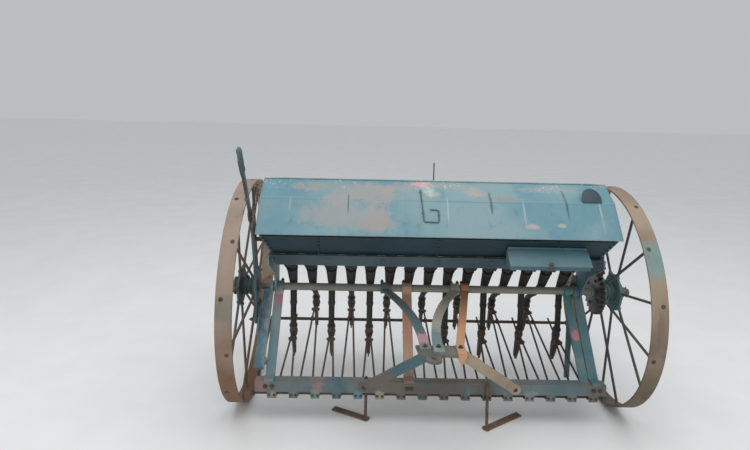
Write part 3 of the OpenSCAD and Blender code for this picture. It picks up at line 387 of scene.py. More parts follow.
def lid_front():
    """The planes of the lid's two front faces, outside, as (y, z, distance) in metres."""
    planes = []
    for low, high in ((EAVE_F, CREASE_F), (CREASE_F, RIDGE)):
        out = Vector((low[1] - high[1], high[0] - low[0])).normalized()
        planes.append((out.x, out.y, MM * (out.x * (low[0] + ORIGIN_Y) + out.y * low[1])))
    return planes


FINISHES = {
    "lid": worn_paint(
        "lid paint", (0.104, 0.249, 0.299), (0.191, 0.307, 0.333), (0.30, 0.25, 0.22),
        rust=0.10, chips=0.20, gloss=0.46, seed=1.0, spots=lid_spots(), dust=0.10,
        waves=5.0, specks=(1.200, 1.240), skin=lid_front()),
    # the hopper walls' paint is darkened far below the lid's teal: painted shade, the shade under the lid's
    # overhang carried into the paint
    "hopper": worn_paint(
        "hopper paint darkened as painted shade", (0.010, 0.034, 0.047), (0.015, 0.046, 0.061), (0.09, 0.065, 0.05),
        rust=0.18, chips=0.1, gloss=0.5, seed=2.0, dust=0.1, waves=1.5),
    "ends": worn_paint(
        "end board paint", (0.030, 0.095, 0.120), (0.070, 0.150, 0.170), (0.16, 0.11, 0.085),
        rust=0.35, chips=0.4, seed=3.0),
    "rail": worn_paint(
        "rail paint", (0.022, 0.049, 0.063), (0.047, 0.077, 0.086), (0.15, 0.12, 0.095),
        rust=0.25, chips=0.4, seed=4.0),
    "toolbox": worn_paint(
        "toolbox paint", (0.058, 0.148, 0.180), (0.085, 0.175, 0.200), (0.19, 0.14, 0.11),
        rust=0.1, chips=0.2, gloss=0.42, seed=5.0, dust=0.1, waves=1.2),
    "axle": worn_paint(
        "axle paint", (0.240, 0.240, 0.200), (0.330, 0.305, 0.245),
        (0.26, 0.22, 0.17), rust=0.30, chips=0.3, gloss=0.55, seed=6.0, dust=0.15,
        spots=[(x, 0, 0, 0.17, None, None, (0.055, 0.052, 0.046)) for x in (-1.06, 1.06)]),
    "left_side": worn_paint(
        "left side paint", (0.145, 0.250, 0.270), (0.275, 0.335, 0.330),
        (0.26, 0.20, 0.17), rust=0.20, chips=0.45, seed=7.0,
        spots=[(-0.95, 0, 0.30, 0.055, None, None, (0.030, 0.115, 0.170)),
               (-0.845, 0, 0.555, 0.03, None, 0.035, PINK),
               (-0.85, 0, 0.590, 0.03, None, 0.02, (0.60, 0.52, 0.46))]),
    "right_side": worn_paint(
        "right side paint", (0.058, 0.160, 0.188), (0.160, 0.232, 0.230),
        (0.24, 0.19, 0.15), rust=0.22, chips=0.4, seed=8.0,
        spots=[(0.80, 0, 0.56, 0.03, None, 0.10, (0.045, 0.260, 0.235)),
               (0.80, 0, 0.42, 0.026, None, 0.03, PINK),
               # the narrow dark upright strip is a painted shadow on the right side frame
               (0.838, MY + 0.031, 0.30, 0.03, 0.006, 0.40, (0.030, 0.062, 0.064))]),
    "beam": worn_paint(
        "beam paint", (0.048, 0.128, 0.152), (0.135, 0.172, 0.168),
        (0.22, 0.16, 0.125), rust=0.36, chips=0.8, seed=9.0, dust=0.35,
        spots=[(-0.90, 0, 0.2, 0.05, None, 0.10, (0.30, 0.17, 0.135)),
               (-0.60, 0, 0.2, 0.045, None, 0.08, (0.36, 0.19, 0.17)),
               (-0.42, 0, 0.2, 0.06, None, 0.08, (0.16, 0.17, 0.15)),
               (-0.22, 0, 0.2, 0.16, None, 0.10, (0.165, 0.125, 0.09)),
               (0.14, 0, 0.2, 0.24, None, 0.10, (0.125, 0.092, 0.070)),
               (0.85, 0, 0.2, 0.10, None, 0.10, (0.16, 0.115, 0.09)),
               (-0.84, 0, 0.155, 0.03, None, 0.03, (0.36, 0.32, 0.27)),
               (-0.616, 0, 0.155, 0.03, None, 0.03, (0.14, 0.26, 0.22)),
               (-0.392, 0, 0.155, 0.03, None, 0.03, (0.10, 0.26, 0.33)),
               (-0.280, 0, 0.155, 0.03, None, 0.03, (0.36, 0.31, 0.25)),
               (0.504, 0, 0.155, 0.05, None, 0.03, (0.20, 0.25, 0.26))]),
    "centre_post": worn_paint(
        "centre post paint", (0.54, 0.275, 0.155), (0.48, 0.32, 0.22),
        (0.28, 0.20, 0.16), rust=0.24, chips=0.4, seed=10.0,
        spots=[(-0.127, 0, 0.23, None, None, 0.06, (0.18, 0.10, 0.08)),
               (-0.105, 0, 0.45, 0.012, None, 0.12, (0.55, 0.26, 0.26))]),
    "hitch_left": worn_paint(
        "left hitch bar paint", (0.085, 0.140, 0.155), (0.190, 0.205, 0.195),
        (0.30, 0.22, 0.18), rust=0.25, chips=0.6, seed=11.0,
        spots=[(0, -0.50, 0.6, None, 0.05, None, (0.50, 0.26, 0.27))]),
    "hitch_right": worn_paint(
        "right hitch bar paint", (0.40, 0.37, 0.31), (0.26, 0.33, 0.32),
        (0.30, 0.22, 0.17), rust=0.2, chips=0.4, seed=12.0,
        spots=[(0.0, -0.53, 0.6, None, 0.14, None, (0.10, 0.19, 0.23))]),
    "stays": worn_paint(
        "stay paint",
        across((0.048, 0.120, 0.145), (0.335, 0.252, 0.170), -0.02, 0.02, 0.0),
        across((0.090, 0.140, 0.145), (0.430, 0.340, 0.235), -0.02, 0.02, 0.0),
        (0.24, 0.17, 0.12), rust=0.26, chips=0.5, seed=13.0, dust=0.1,
        spots=[(-0.345, 0, 0, 0.10, None, None, (0.150, 0.112, 0.080))]),
    "hitch_plate": worn_paint(
        "hitch plate paint", (0.085, 0.092, 0.088), (0.150, 0.140, 0.120),
        (0.20, 0.12, 0.09), rust=0.4, chips=0.6, seed=14.0),
    "tongue": worn_paint(
        "tongue bar paint", (0.62, 0.262, 0.113), (0.54, 0.29, 0.155),
        (0.24, 0.12, 0.075), rust=0.33, chips=0.5, seed=15.0),
    "lever": worn_paint(
        "lever paint", (0.040, 0.105, 0.120), (0.085, 0.150, 0.160),
        (0.15, 0.105, 0.085), rust=0.30, chips=0.5, seed=16.0),
    "left_rim": worn_paint(
        "left wheel paint",
        wheel_zones((0.290, 0.212, 0.165), (0.150, 0.074, 0.034),
                    (0.110, 0.072, 0.052), (0.050, 0.078, 0.080),
                    (0.71, 0.07, (0.175, 0.180, 0.135))),
        wheel_zones((0.340, 0.262, 0.208), (0.190, 0.104, 0.052),
                    (0.140, 0.095, 0.070), (0.075, 0.100, 0.100),
                    (0.71, 0.07, (0.195, 0.200, 0.155))),
        (0.22, 0.12, 0.07), rust=0.26, chips=0.6, gloss=0.62, seed=17.0, dust=0.08),
    "right_rim": worn_paint(
        "right wheel paint",
        wheel_zones((0.240, 0.172, 0.122), (0.115, 0.080, 0.047),
                    (0.060, 0.052, 0.048), (0.060, 0.140, 0.138),
                    (0.935, 0.085, (0.150, 0.290, 0.285))),
        wheel_zones((0.325, 0.248, 0.178), (0.147, 0.107, 0.067),
                    (0.085, 0.074, 0.066), (0.110, 0.190, 0.178),
                    (0.935, 0.085, (0.190, 0.310, 0.300))),
        (0.17, 0.11, 0.08), rust=0.22, chips=0.6, gloss=0.62, seed=18.0, dust=0.08),
    "gear": rusty_iron(
        "greased iron", (0.040, 0.032, 0.028), (0.090, 0.055, 0.040),
        (0.016, 0.015, 0.015), 1.0, 0.6, 0.6),
    "iron": rusty_iron(
        "dark rusty iron", across((0.150, 0.118, 0.090), (0.075, 0.055, 0.043)),
        (0.190, 0.130, 0.090), across((0.085, 0.066, 0.052), (0.038, 0.030, 0.026)), 2.0),
    "arms": rusty_iron(
        "weathered iron", (0.120, 0.088, 0.066), (0.200, 0.140, 0.100),
        (0.060, 0.045, 0.036), 3.0),
    "cups": rusty_iron(
        "cast iron with old paint", (0.050, 0.062, 0.058), (0.16, 0.12, 0.095),
        (0.020, 0.026, 0.026), 4.0),
    "feet": rusty_iron(
        "rusty feet iron", (0.160, 0.105, 0.070), (0.30, 0.20, 0.13),
        (0.08, 0.055, 0.04), 5.0),
    "tubes": rusty_iron(
        "old tube skin", across((0.062, 0.060, 0.052), (0.034, 0.030, 0.026)),
        (0.105, 0.085, 0.066), across((0.030, 0.032, 0.030), (0.015, 0.015, 0.014)),
        6.0, 0.72, 0.0),
    "plate": worn_paint(
        "plate paint", (0.014, 0.040, 0.055), (0.030, 0.070, 0.085),
        (0.10, 0.08, 0.07), rust=0.15, chips=0.3, gloss=0.4, seed=20.0, dust=0.0),
    "bolts": rusty_iron(
        "bolt iron", (0.085, 0.060, 0.046), (0.17, 0.11, 0.08),
        (0.04, 0.03, 0.025), 7.0, 0.75, 0.0, 2.0),
}

ON_NODE = {
    "axle": "axle", "side_frame_left": "left_side", "side_frame_right": "right_side",
    "front_beam": "beam", "hinge_rod": "iron", "centre_post": "centre_post",
    "hitch_bar_left": "hitch_left", "hitch_bar_right": "hitch_right", "lower_stays": "stays",
    "hitch_plate": "hitch_plate", "tongue_bar": "tongue", "parking_feet": "feet",
    "front_rail": "rail", "rear_rail": "rail", "hopper_front": "hopper", "hopper_rear": "hopper",
    "hopper_floor": "hopper", "hopper_ends": "ends", "toolbox": "toolbox", "feed_cups": "cups",
    "seed_tubes": "tubes", "wheel_left": "left_rim", "wheel_right": "right_rim",
    "drive_gear": "gear", "sow_shaft": "gear", "sow_pinion": "iron", "hopper_lid": "lid",
    "lid_fittings": "hopper", "toolbox_lid": "toolbox", "lift_lever": "lever",
    "lift_link": "rail", "lift_bail": "arms", "catch_bar": "arms",
}
for row in range(1, ROWS + 1):
    ON_NODE[f"coulter_{row}"] = "iron"

for node_name, finish_name in ON_NODE.items():
    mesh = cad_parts[node_name].data
    mesh.materials.clear()
    mesh.materials.append(FINISHES[finish_name])


# Modelling helpers
def rest():
    """Object mode with nothing selected."""
    if bpy.context.object and bpy.context.object.mode != "OBJECT":
        bpy.ops.object.mode_set(mode="OBJECT")
    bpy.ops.object.select_all(action="DESELECT")


def only(*objs):
    """These objects alone selected, the first one active."""
    rest()
    for obj in objs:
        obj.select_set(True)
    bpy.context.view_layer.objects.active = objs[0]


def settled(*objs):
    """The objects' places taken into their meshes."""
    only(*objs)
    bpy.ops.object.transform_apply(location=True, rotation=True, scale=True)


def smooth(obj, angle=35):
    only(obj)
    bpy.ops.object.shade_smooth_by_angle(angle=math.radians(angle))
    return obj


def turned(name, steps, sides=16, angle=35):
    """A turned piece about local Z through (radius, height) steps in mm."""
    rest()
    radius, height = steps[0]
    bpy.ops.mesh.primitive_circle_add(vertices=sides, radius=radius * MM, fill_type="NGON",
                                      location=(0, 0, height * MM))
    obj = bpy.context.object
    obj.name = name
    bpy.ops.object.mode_set(mode="EDIT")
    bpy.ops.mesh.select_all(action="SELECT")
    for r, h in steps[1:]:
        bpy.ops.mesh.extrude_region_move(TRANSFORM_OT_translate={"value": (0, 0, (h - height) * MM)})
        if r != radius:
            bpy.ops.transform.resize(value=(r / radius, r / radius, 1),
                                     center_override=(0, 0, h * MM))
        radius, height = r, h
    bpy.ops.mesh.select_all(action="SELECT")
    bpy.ops.mesh.normals_make_consistent(inside=False)
    bpy.ops.object.mode_set(mode="OBJECT")
    settled(obj)
    return smooth(obj, angle)


def block(name, size, bevel=1.0, taper=1.0, centre=(0, 0, 0)):
    """A forged block of a size in mm about centre, its top drawn in by taper, its edges broken."""
    rest()
    bpy.ops.mesh.primitive_cube_add(size=1)
    obj = bpy.context.object
    obj.name = name
    bpy.ops.object.mode_set(mode="EDIT")
    bpy.ops.mesh.select_all(action="SELECT")
    bpy.ops.transform.resize(value=tuple(v * MM for v in size), center_override=(0, 0, 0))
    if taper != 1:
        pick(obj, lambda face: face.normal.z > 0.9)
        bpy.ops.transform.resize(value=(taper, taper, 1), center_override=(0, 0, 0))
        bpy.ops.mesh.select_all(action="SELECT")
    bpy.ops.transform.translate(value=tuple(v * MM for v in centre))
    bpy.ops.object.mode_set(mode="OBJECT")
    made = obj.modifiers.new("broken edges", "BEVEL")
    made.width = bevel * MM
    made.segments = 2
    only(obj)
    bpy.ops.object.modifier_apply(modifier=made.name)
    return smooth(obj)


def pick(obj, wanted):
    """Selects the faces of the edited mesh that wanted() says."""
    bpy.ops.mesh.select_all(action="DESELECT")
    shape = bmesh.from_edit_mesh(obj.data)
    for face in shape.faces:
        if wanted(face):
            face.select_set(True)
    bmesh.update_edit_mesh(obj.data)


def wire(name, path, radius, sides=8, closed=False, angle=40):
    """A round bar or hose along points of part.scad; radius is one number, or one a point, in mm."""
    rest()
    data = bpy.data.curves.new(name, "CURVE")
    data.dimensions = "3D"
    line = data.splines.new("POLY")
    line.points.add(len(path) - 1)
    radii = radius if isinstance(radius, (list, tuple)) else [radius] * len(path)
    for point, place, r in zip(line.points, path, radii):
        point.co = (*at(*place), 1)
        point.radius = r
    line.use_cyclic_u = closed
    data.bevel_depth = MM
    data.bevel_resolution = max(0, sides // 4 - 1) if sides > 4 else 0
    data.use_fill_caps = True
    only(added(name, data))
    bpy.ops.object.convert(target="MESH")
    return smooth(bpy.context.object, angle)


def bend(a, b, c, t):
    """The point at a share t of the curve from a to c that b draws out."""
    return a * (1 - t) ** 2 + b * 2 * t * (1 - t) + c * t ** 2


def rounded(path, reach, steps=3):
    """The path with each inner corner cut back by reach and curved."""
    points = [Vector(p) for p in path]
    out = [tuple(points[0])]
    for a, b, c in zip(points, points[1:], points[2:]):
        before = b + (a - b).normalized() * min(reach, (a - b).length * 0.45)
        after = b + (c - b).normalized() * min(reach, (c - b).length * 0.45)
        for k in range(steps + 1):
            out.append(tuple(bend(before, b, after, k / steps)))
    out.append(tuple(points[-1]))
    return out


def stand(point, direction=(0, 0, 1), turn=0.0):
    """The matrix that stands local Z along direction at a point of part.scad."""
    lift = Vector(direction).normalized().to_track_quat("Z", "Y").to_matrix().to_4x4()
    return Matrix.Translation(at(*point)) @ lift @ Matrix.Rotation(turn, 4, "Z")


def fixed(obj, matrix):
    """obj with matrix taken into its mesh."""
    obj.matrix_world = matrix
    settled(obj)
    return obj


def twin(obj):
    """A copy with its own mesh."""
    copy = obj.copy()
    copy.data = obj.data.copy()
    bpy.context.scene.collection.objects.link(copy)
    return copy


def again(obj, matrix):
    """A twin of obj, moved by matrix."""
    return fixed(twin(obj), matrix)


def joined(name, parts):
    only(*parts)
    if len(parts) > 1:
        bpy.ops.object.join()
    return named(bpy.context.object, name)


def named(obj, name):
    obj.name = obj.data.name = name
    return obj


def heading(start, end):
    """The direction between two places that are given as Y and Z."""
    return Vector((0, end[0] - start[0], end[1] - start[1])).normalized()


def square_to(direction):
    """The direction in the Y-Z plane, a quarter turn on."""
    return Vector((0, -direction.z, direction.y))


def lying(point, along, out):
    """The matrix that lays local Y along a slope at a point, and local Z out of it."""
    turn = Matrix((Vector((1, 0, 0)), along, out)).transposed()
    return Matrix.Translation(at(*point)) @ turn.to_4x4()


def dress(obj, finish, body=None):
    """The piece in its finish, riding its body."""
    obj.data.materials.clear()
    obj.data.materials.append(FINISHES[finish])
    if body:
        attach(obj, body)
    return obj


def spread(master, name, places, finish, body):
    """One piece made of copies of a master at (point, direction[, turn])."""
    copies = []
    for place in places:
        copy = twin(master)
        copy.matrix_world = stand(*place)
        copies.append(copy)
    settled(*copies)
    return dress(joined(name, copies), finish, body)


def away(*objs):
    """Removes masters that have been copied."""
    for obj in objs:
        bpy.data.objects.remove(obj, do_unlink=True)


def socket(reach, up=0.0):
    """Y and Z of a point of a drag arm, reach along it and up from it."""
    return (HINGE[0] + reach * math.cos(LIFTED) - up * math.sin(LIFTED),
            HINGE[1] + reach * math.sin(LIFTED) + up * math.cos(LIFTED))


def arm_len(i):
    return ARM_SHORT if i % 2 == 0 else ARM_LONG


ROW_X = [(i - (ROWS - 1) / 2) * ROW_PITCH for i in range(ROWS)]
LUG_X = [(i - ROWS / 2) * ROW_PITCH for i in range(ROWS + 1)]
ABOVE = (0, -math.sin(LIFTED), math.cos(LIFTED))

# Bolts
hex_bolt = turned("hex bolt", [(13, 0), (13, 2), (8.6, 2.01), (8.6, 9), (7.2, 10.5)], 6)
nut_and_stub = turned("nut with thread end", [(10, 0), (10, 9), (5.5, 9.01), (5.5, 15), (4.6, 16)], 6)
small_bolt = turned("small bolt", [(6.4, 0), (6.4, 5), (5.2, 6)], 6)
square_bolt = turned("square bolt", [(10, 0), (10, 5), (8, 6.5)], 4)
rivet = turned("rivet", [(7.5, 0), (7.2, 2.2), (5.4, 4.2), (2.4, 5.2)], 12, 60)


# Seed tubes
def seed_tube(reach):
    """A tube over X = 0 from under a feed cup to the socket at reach along its arm."""
    neck, low = socket(reach, 78), socket(reach, 46)
    top, knee, end = Vector((0, *SPOUT_END)), Vector((0, *KNEE)), Vector((0, *neck))
    path, radii = [], []

    def add(point, r):
        path.append(tuple(point))
        radii.append(r)

    down = (knee - top).normalized()
    length = (knee - top).length
    for far, r in ((-1, 34.5), (3, 34.5), (5, 31.5), (14, 30)):
        add(top + down * far, r)
    ribs = 11
    for k in range(ribs):
        share = k / ribs
        far = 16 + share * (length - 44)
        wide = 29.5 - 6.5 * share
        add(top + down * far, wide + 1.3)
        add(top + down * (far + 5.0), wide + 1.3)
        add(top + down * (far + 6.5), wide - 1.2)
        add(top + down * (far + 9.0), wide - 1.2)
    on = (end - knee).normalized()
    for k in range(7):
        add(bend(knee - down * 25, knee, knee + on * 25, k / 6), 22.8 + (0.9 if k % 2 else -0.7))
    run = (end - knee).length
    mid = knee + (end - knee) * 0.52
    add(knee + on * 30, 22.6)
    add(knee + on * 31, 19.6)
    add(mid - on * 13, 19.6)
    add(mid - on * 12.5, 22.4)
    add(mid - on * 9, 22.4)
    add(mid - on * 8, 20.6)
    add(mid + on * 3, 20.6)
    add(mid + on * 4, 17.4)
    add(end - on * min(30, run * 0.2), 17.4)
    out = (Vector((0, *low)) - end).normalized()
    for k in range(1, 5):
        add(bend(end - on * 22, end, end + out * 10, k / 4), 17.4)
    add(Vector((0, *low)), 16.6)
    return wire("seed tube", path, radii, sides=16, angle=28)


short_tube, long_tube = seed_tube(ARM_SHORT), seed_tube(ARM_LONG)
for i, x in enumerate(ROW_X):
    tube = again(short_tube if i % 2 == 0 else long_tube, Matrix.Translation((x * MM, 0, 0)))
    dress(named(tube, f"seed_tube_{i + 1}"), "tubes")
    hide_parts("seed_tubes")
    end = socket(arm_len(i), 78)
    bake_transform(tube)
away(short_tube, long_tube)

# Feed cups
cup_bolts = []
for x in ROW_X:
    for side in (-1, 1):
        for quarter in range(4):
            angle = math.radians(45 + 90 * quarter)
            cup_bolts.append(((x + side * 30, SHAFT[0] + 36 * math.cos(angle),
                               SHAFT[1] + 36 * math.sin(angle)), (side, 0, 0), angle))
spread(small_bolt, "cup_bolts", cup_bolts, "bolts", "frame")
stem = block("slide stem", (7, 4, 46), 1.0, 0.7, (0, -1, 19))
knob = fixed(turned("knob", [(5, 0), (8, 3), (8, 7), (5, 10)], 12), Matrix.Translation((0, 0, 40 * MM)))
guide = block("slide guide", (30, 5, 14), 1.2, 1.0, (0, -2, 4))
slide = joined("slide lever", [stem, knob, guide])
spread(slide, "slide_levers", [((x + (4 if i % 3 else -5), -101.5, 797), (0.12 * (-1) ** i, -0.42, 0.9))
                               for i, x in enumerate(ROW_X)], "cups", "frame")
collar = turned("shaft collar", [(15, 0), (17, 1.5), (17, 13.5), (15, 15)], 20)
spread(collar, "cup_collars", [((x + s * 40 - (0 if s > 0 else 15), *SHAFT), (1, 0, 0))
                               for x in ROW_X for s in (-1, 1)], "cups", "frame")
lip = turned("spout lip", [(20.2, 0), (24.5, 1), (25.5, 5), (20.2, 8)], 20)
DOWN = (0, KNEE[0] - SHAFT[0], KNEE[1] - SHAFT[1])
spread(lip, "spout_lips", [((x, SPOUT_END[0] - 9 * 0.24, SPOUT_END[1] + 9 * 0.97), DOWN) for x in ROW_X],
       "cups", "frame")
away(slide, lip)

# Coulters
for i, x in enumerate(ROW_X):
    reach = arm_len(i)
    parts = []
    # rivets of the boot, and the bolt through the arms' eyes
    for side in (-1, 1):
        for far, up in ((reach + 6, 0), (reach + 8, -46)):
            parts.append(again(rivet, stand((x + side * 10, *socket(far, up)), (side, 0, 0), 0.4 * i)))
        pin = (x + side * 14, *socket(reach - 53, 0))
        parts.append(again(hex_bolt, stand(pin, (side, 0, 0), 0.3 * i)))
    # clamp round the socket, with a bolted ear in front
    y, z = socket(reach, 8)
    ring = turned("socket clamp", [(22, 0), (24.5, 1), (24.5, 13), (22, 14)], 20)
    parts.append(fixed(ring, stand((x, y, z), ABOVE)))
    ear = block("clamp ear", (7, 16, 12), 1.0)
    y, z = socket(reach - 27, 15)
    parts.append(fixed(ear, stand((x, y, z), ABOVE)))
    parts.append(again(small_bolt, stand((x + 3.5, y, z), (1, 0, 0))))
    parts.append(again(small_bolt, stand((x - 3.5, y, z), (-1, 0, 0))))
    # wear strip on the boot's back
    y, z = socket(reach + 22, -22)
    parts.append(fixed(block("boot back", (12, 5, 78), 1.2, 0.8), stand((x, y, z), ABOVE)))
    dress(joined(f"coulter_trim_{i + 1}", parts), "arms", f"coulter_{i + 1}")

# Frame bolts
hexes, nuts, squares, rivets = [], [], [], []
for x in LUG_X:
    for side in (-1, 1):
        rivets.append(((x + side * 13, BEAM_Y, 153), (0, -1, 0)))
for x in (-873, -838, 838, 873):
    hexes.append(((x, BEAM_Y, 199), (0, -1, 0)))
for x in (STAY_LEFT, STAY_RIGHT):
    hexes.append(((x, BEAM_Y - 8.3, 203), (0, -1, 0), 0.5))
for x in (MID_POST - 11, MID_POST + 11):
    hexes.append(((x, BEAM_Y, 196), (0, -1, 0), 0.2))
CLAMP_R = 31
for x, half in ((HITCH_LEFT, 17), (HITCH_RIGHT, 17), (MID_POST, 18), (TONGUE_X, 14), (-856, 16), (856, 16)):
    for side in (-1, 1):
        for angle, turn in ((0.5, 0.3), (2.3, 0.7)):
            y, z = math.sin(angle), math.cos(angle)
            nuts.append(((x + side * half, CLAMP_R * y, AXLE_Z + CLAMP_R * z), (0, y, z), turn * side))
for x in (-840, -560, -280, 0, 280, 560, 840):
    squares.append(((x, RAIL_FRONT, 862), (0, -1, 0), 0.785))
    squares.append(((x, RAIL_REAR, 862), (0, 1, 0), 0.785))
for side in (-1, 1):
    outer = side * 870
    for y, z in ((-96, 800), (-4, 800), (-250, 855), (-20, 855), (-56, 700), (20, 700)):
        nuts.append(((outer, y, z), (side, 0, 0), 0.4))
for x in (-89, -27):
    hexes.append(((x, HITCH_Y + 96, 567.3), (0, 0, 1), 0.3))
    nuts.append(((x, HITCH_Y + 96, 545), (0, 0, -1), 0.1))
hexes.append(((75, HITCH_Y + 96, 565.3), (0, 0, 1), 0.6))
for x, y in ((-64, -687), (71, -672)):
    nuts.append(((x, y, 536.7), (0, 0, -1), 0.5))
for x, y in ((-351, -310), (278, -364)):
    nuts.append(((x, y, 221.5), (0, 0, 1), 0.2))
spread(hex_bolt, "hex_bolts", hexes, "bolts", "frame")
spread(nut_and_stub, "nuts", nuts, "bolts", "frame")
spread(square_bolt, "rail_bolts", squares, "rail", "frame")
spread(rivet, "lug_rivets", rivets, "bolts", "frame")

# cast caps of the sowing shaft's bearings, with oilers
cap = turned("bearing cap", [(17, 0), (26, 0.5), (26, 5), (21, 9), (15, 10)], 24)
oiler = fixed(turned("oiler", [(4.5, 0), (4.5, 9), (6.5, 10), (6.5, 14), (4, 16)], 10),
              Matrix.Translation((0, 23 * MM, 4 * MM)) @ Matrix.Rotation(-math.pi / 2, 4, "X"))
boss = joined("bearing boss", [cap, oiler])
spread(boss, "bearing_caps", [((side * 876.3, *SHAFT), (side, 0, 0)) for side in (1, -1)],
       "right_side", "frame")
away(boss)

# Wheels
SPOKE_SET = 14
FLANGE_R, SPOKE_R, TREAD_R, JOINT_R = 88, 605, 609.4, 596


def on_wheel(x, radius, angle):
    """A point at a radius and an angle about the axle."""
    return (x, radius * math.cos(angle), AXLE_Z + radius * math.sin(angle))


spoke_foot = turned("spoke foot", [(14, 0), (14, 3), (9.5, 8), (8.4, 17)], 14)
spoke_head = turned("spoke head", [(12.5, 0), (12.5, 7), (9, 14)], 14)
spoke_end = turned("spoke end", [(11, 0), (11, 0.9), (9, 1.9), (4, 2.4)], 12, 50)
hub_band = turned("hub band", [(45.1, 0), (50, 1.5), (50, 10.5), (45.1, 12)], 32)
for side, name, finish in ((-1, "left", "left_rim"), (1, "right", "right_rim")):
    feet, heads, ends = [], [], []
    for k in range(SPOKES):
        angle = (k + 0.5) * math.tau / SPOKES
        out = 1 if k % 2 == 0 else -1
        flange = Vector(on_wheel(side * (TRACK_HALF + out * HUB_GAP / 2), FLANGE_R, angle))
        tread = Vector(on_wheel(side * (TRACK_HALF + out * SPOKE_SET), SPOKE_R, angle))
        inward = (flange - tread).normalized()
        feet.append((tuple(tread + inward * 5.5), tuple(inward)))
        heads.append((tuple(flange - inward * 15), tuple(-inward)))
        # spoke ends hammered over, almost flush with the tread
        ends.append((on_wheel(side * (TRACK_HALF + out * SPOKE_SET), TREAD_R, angle),
                     (0, math.cos(angle), math.sin(angle))))
    spread(spoke_foot, f"spoke_feet_{name}", feet, finish, f"wheel_{name}")
    spread(spoke_head, f"spoke_heads_{name}", heads, finish, f"wheel_{name}")
    spread(spoke_end, f"spoke_ends_{name}", ends, "bolts", f"wheel_{name}")
    rings = [((side * (TRACK_HALF + x), 0, AXLE_Z), (1, 0, 0)) for x in (-30, -6, 18)]
    rings.append(((side * (TRACK_HALF + 72), 0, AXLE_Z), (side, 0, 0)))
    spread(hub_band, f"hub_bands_{name}", rings, finish, f"wheel_{name}")
    # plate that joins the tyre's ends inside, with its rivets
    places = [(on_wheel(side * (TRACK_HALF + x), JOINT_R, a), (0, -math.cos(a), -math.sin(a)))
              for a in (0.62, 0.70, 0.78, 0.86) for x in (-24, 24)]
    spread(rivet, f"tyre_rivets_{name}", places, finish, f"wheel_{name}")
    middle = 0.74
    place = stand(on_wheel(side * TRACK_HALF, JOINT_R, middle), (0, -math.cos(middle), -math.sin(middle)))
    plate = fixed(block("tyre joint", (64, 165, 5), 1.0), place)
    dress(named(plate, f"tyre_joint_{name}"), finish, f"wheel_{name}")
    # grease nipple on the hub
    spread(nut_and_stub, f"hub_oiler_{name}", [((side * (TRACK_HALF + 8), 0, 655), (0, 0, 1))], "bolts",
           f"wheel_{name}")
    # cotter pin through the axle end, its legs bent apart
    x = side * 1142.6
    legs = [wire("cotter", rounded([(x, 0, AXLE_Z + 14), (x, 0, AXLE_Z - 20), (x, s * 14, AXLE_Z - 30)], 6),
                 1.7, 6) for s in (-1, 1)]
    round_eye = [(x, 5 * math.sin(k * math.tau / 12), AXLE_Z + 24 + 6 * math.cos(k * math.tau / 12))
                 for k in range(12)]
    eye = wire("cotter eye", round_eye, 1.9, 6, closed=True)
    dress(joined(f"cotter_{name}", legs + [eye]), "bolts", "frame")
away(spoke_foot, spoke_head, spoke_end, hub_band)
# bolts that hold the gear to the right wheel
spread(square_bolt, "gear_bolts", [(on_wheel(948.6, 78, a), (-1, 0, 0), 0.785)
                                   for a in (0.4, 1.97, 3.54, 5.11)], "gear", "wheel_right")

# Lid
hem = [wire("eave hem", [(-LID_HALF, y, z), (0, y, z + 0.6), (LID_HALF, y, z)], 3.4, 10)
       for y, z in ((EAVE_F[0] + 2, EAVE_F[1] + 1), (EAVE_R[0] - 2, EAVE_R[1] + 1))]
for side in (-1, 1):
    hem.append(wire("end hem", [(side * (LID_HALF - 1.5), *p) for p in
                                (EAVE_F, CREASE_F, RIDGE, CREASE_R, EAVE_R)], 2.6, 8))
dress(joined("lid_hems", hem), "lid", "hopper_lid")
seam = block("ridge seam", (2 * LID_HALF - 16, 17, 5), 1.6, 0.92)
dress(named(fixed(seam, stand((0, RIDGE[0], RIDGE[1] - 0.2))), "ridge_seam"), "lid", "hopper_lid")
fall = heading(CREASE_R, EAVE_R)
outward = square_to(fall)
straps, strap_rivets = [], []
for x in (-0.76 * LID_HALF, 0, 0.76 * LID_HALF):
    middle = Vector((x, *EAVE_R)) - fall * 72 + outward * 1.6
    strap = block("hinge strap", (26, 128, 4), 1.0)
    straps.append(fixed(strap, lying(middle, fall, outward)))
    for far in (-50, -14, 22):
        strap_rivets.append((tuple(middle + fall * far + outward * 2), tuple(outward)))
dress(joined("hinge_straps", straps), "ends", "hopper_lid")
spread(rivet, "strap_rivets", strap_rivets, "bolts", "hopper_lid")
up = heading(CREASE_F, RIDGE)
front_out = square_to(up)
plate_rivets = [(tuple(Vector((PLAQUE_X + x, *CREASE_F)) + up * s + front_out * 4.2), tuple(front_out))
                for x in (-40, 40) for s in (11, 26)]
spread(rivet, "plate_rivets", plate_rivets, "bolts", "hopper_lid")
# the wire handle lies further left than in the solids, as in the photograph
slope = heading(CREASE_F, EAVE_F)
slope_out = -square_to(slope)


def on_front(x, height, off=3.0):
    """A point off the lid's front faces at a height."""
    low, high, out = (EAVE_F, CREASE_F, slope_out) if height < CREASE_F[1] else (CREASE_F, RIDGE, front_out)
    share = (height - low[1]) / (high[1] - low[1])
    return Vector((x, low[0] + (high[0] - low[0]) * share, height)) + out * off


loop = [tuple(on_front(*place)) for place in
        ((-88, 1216), (-87, 1180, 5), (-84, 1150), (-78, 1080), (-2, 1078), (-1, 1132), (-46, 1134, 4))]
handle = [wire("wire handle", rounded(loop, 9), 3.6, 10)]
clip = block("wire clip", (12, 9, 6), 1.2, 0.8)
for x, height in ((-82, 1120), (-40, 1079), (-2, 1110)):
    handle.append(again(clip, lying(on_front(x, height, 4), slope, slope_out)))
handle.append(again(clip, lying(on_front(-88, 1208, 4), -up, front_out)))
away(clip)
dress(joined("wire_handle", handle), "lever", "hopper_lid")
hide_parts("lid_fittings")
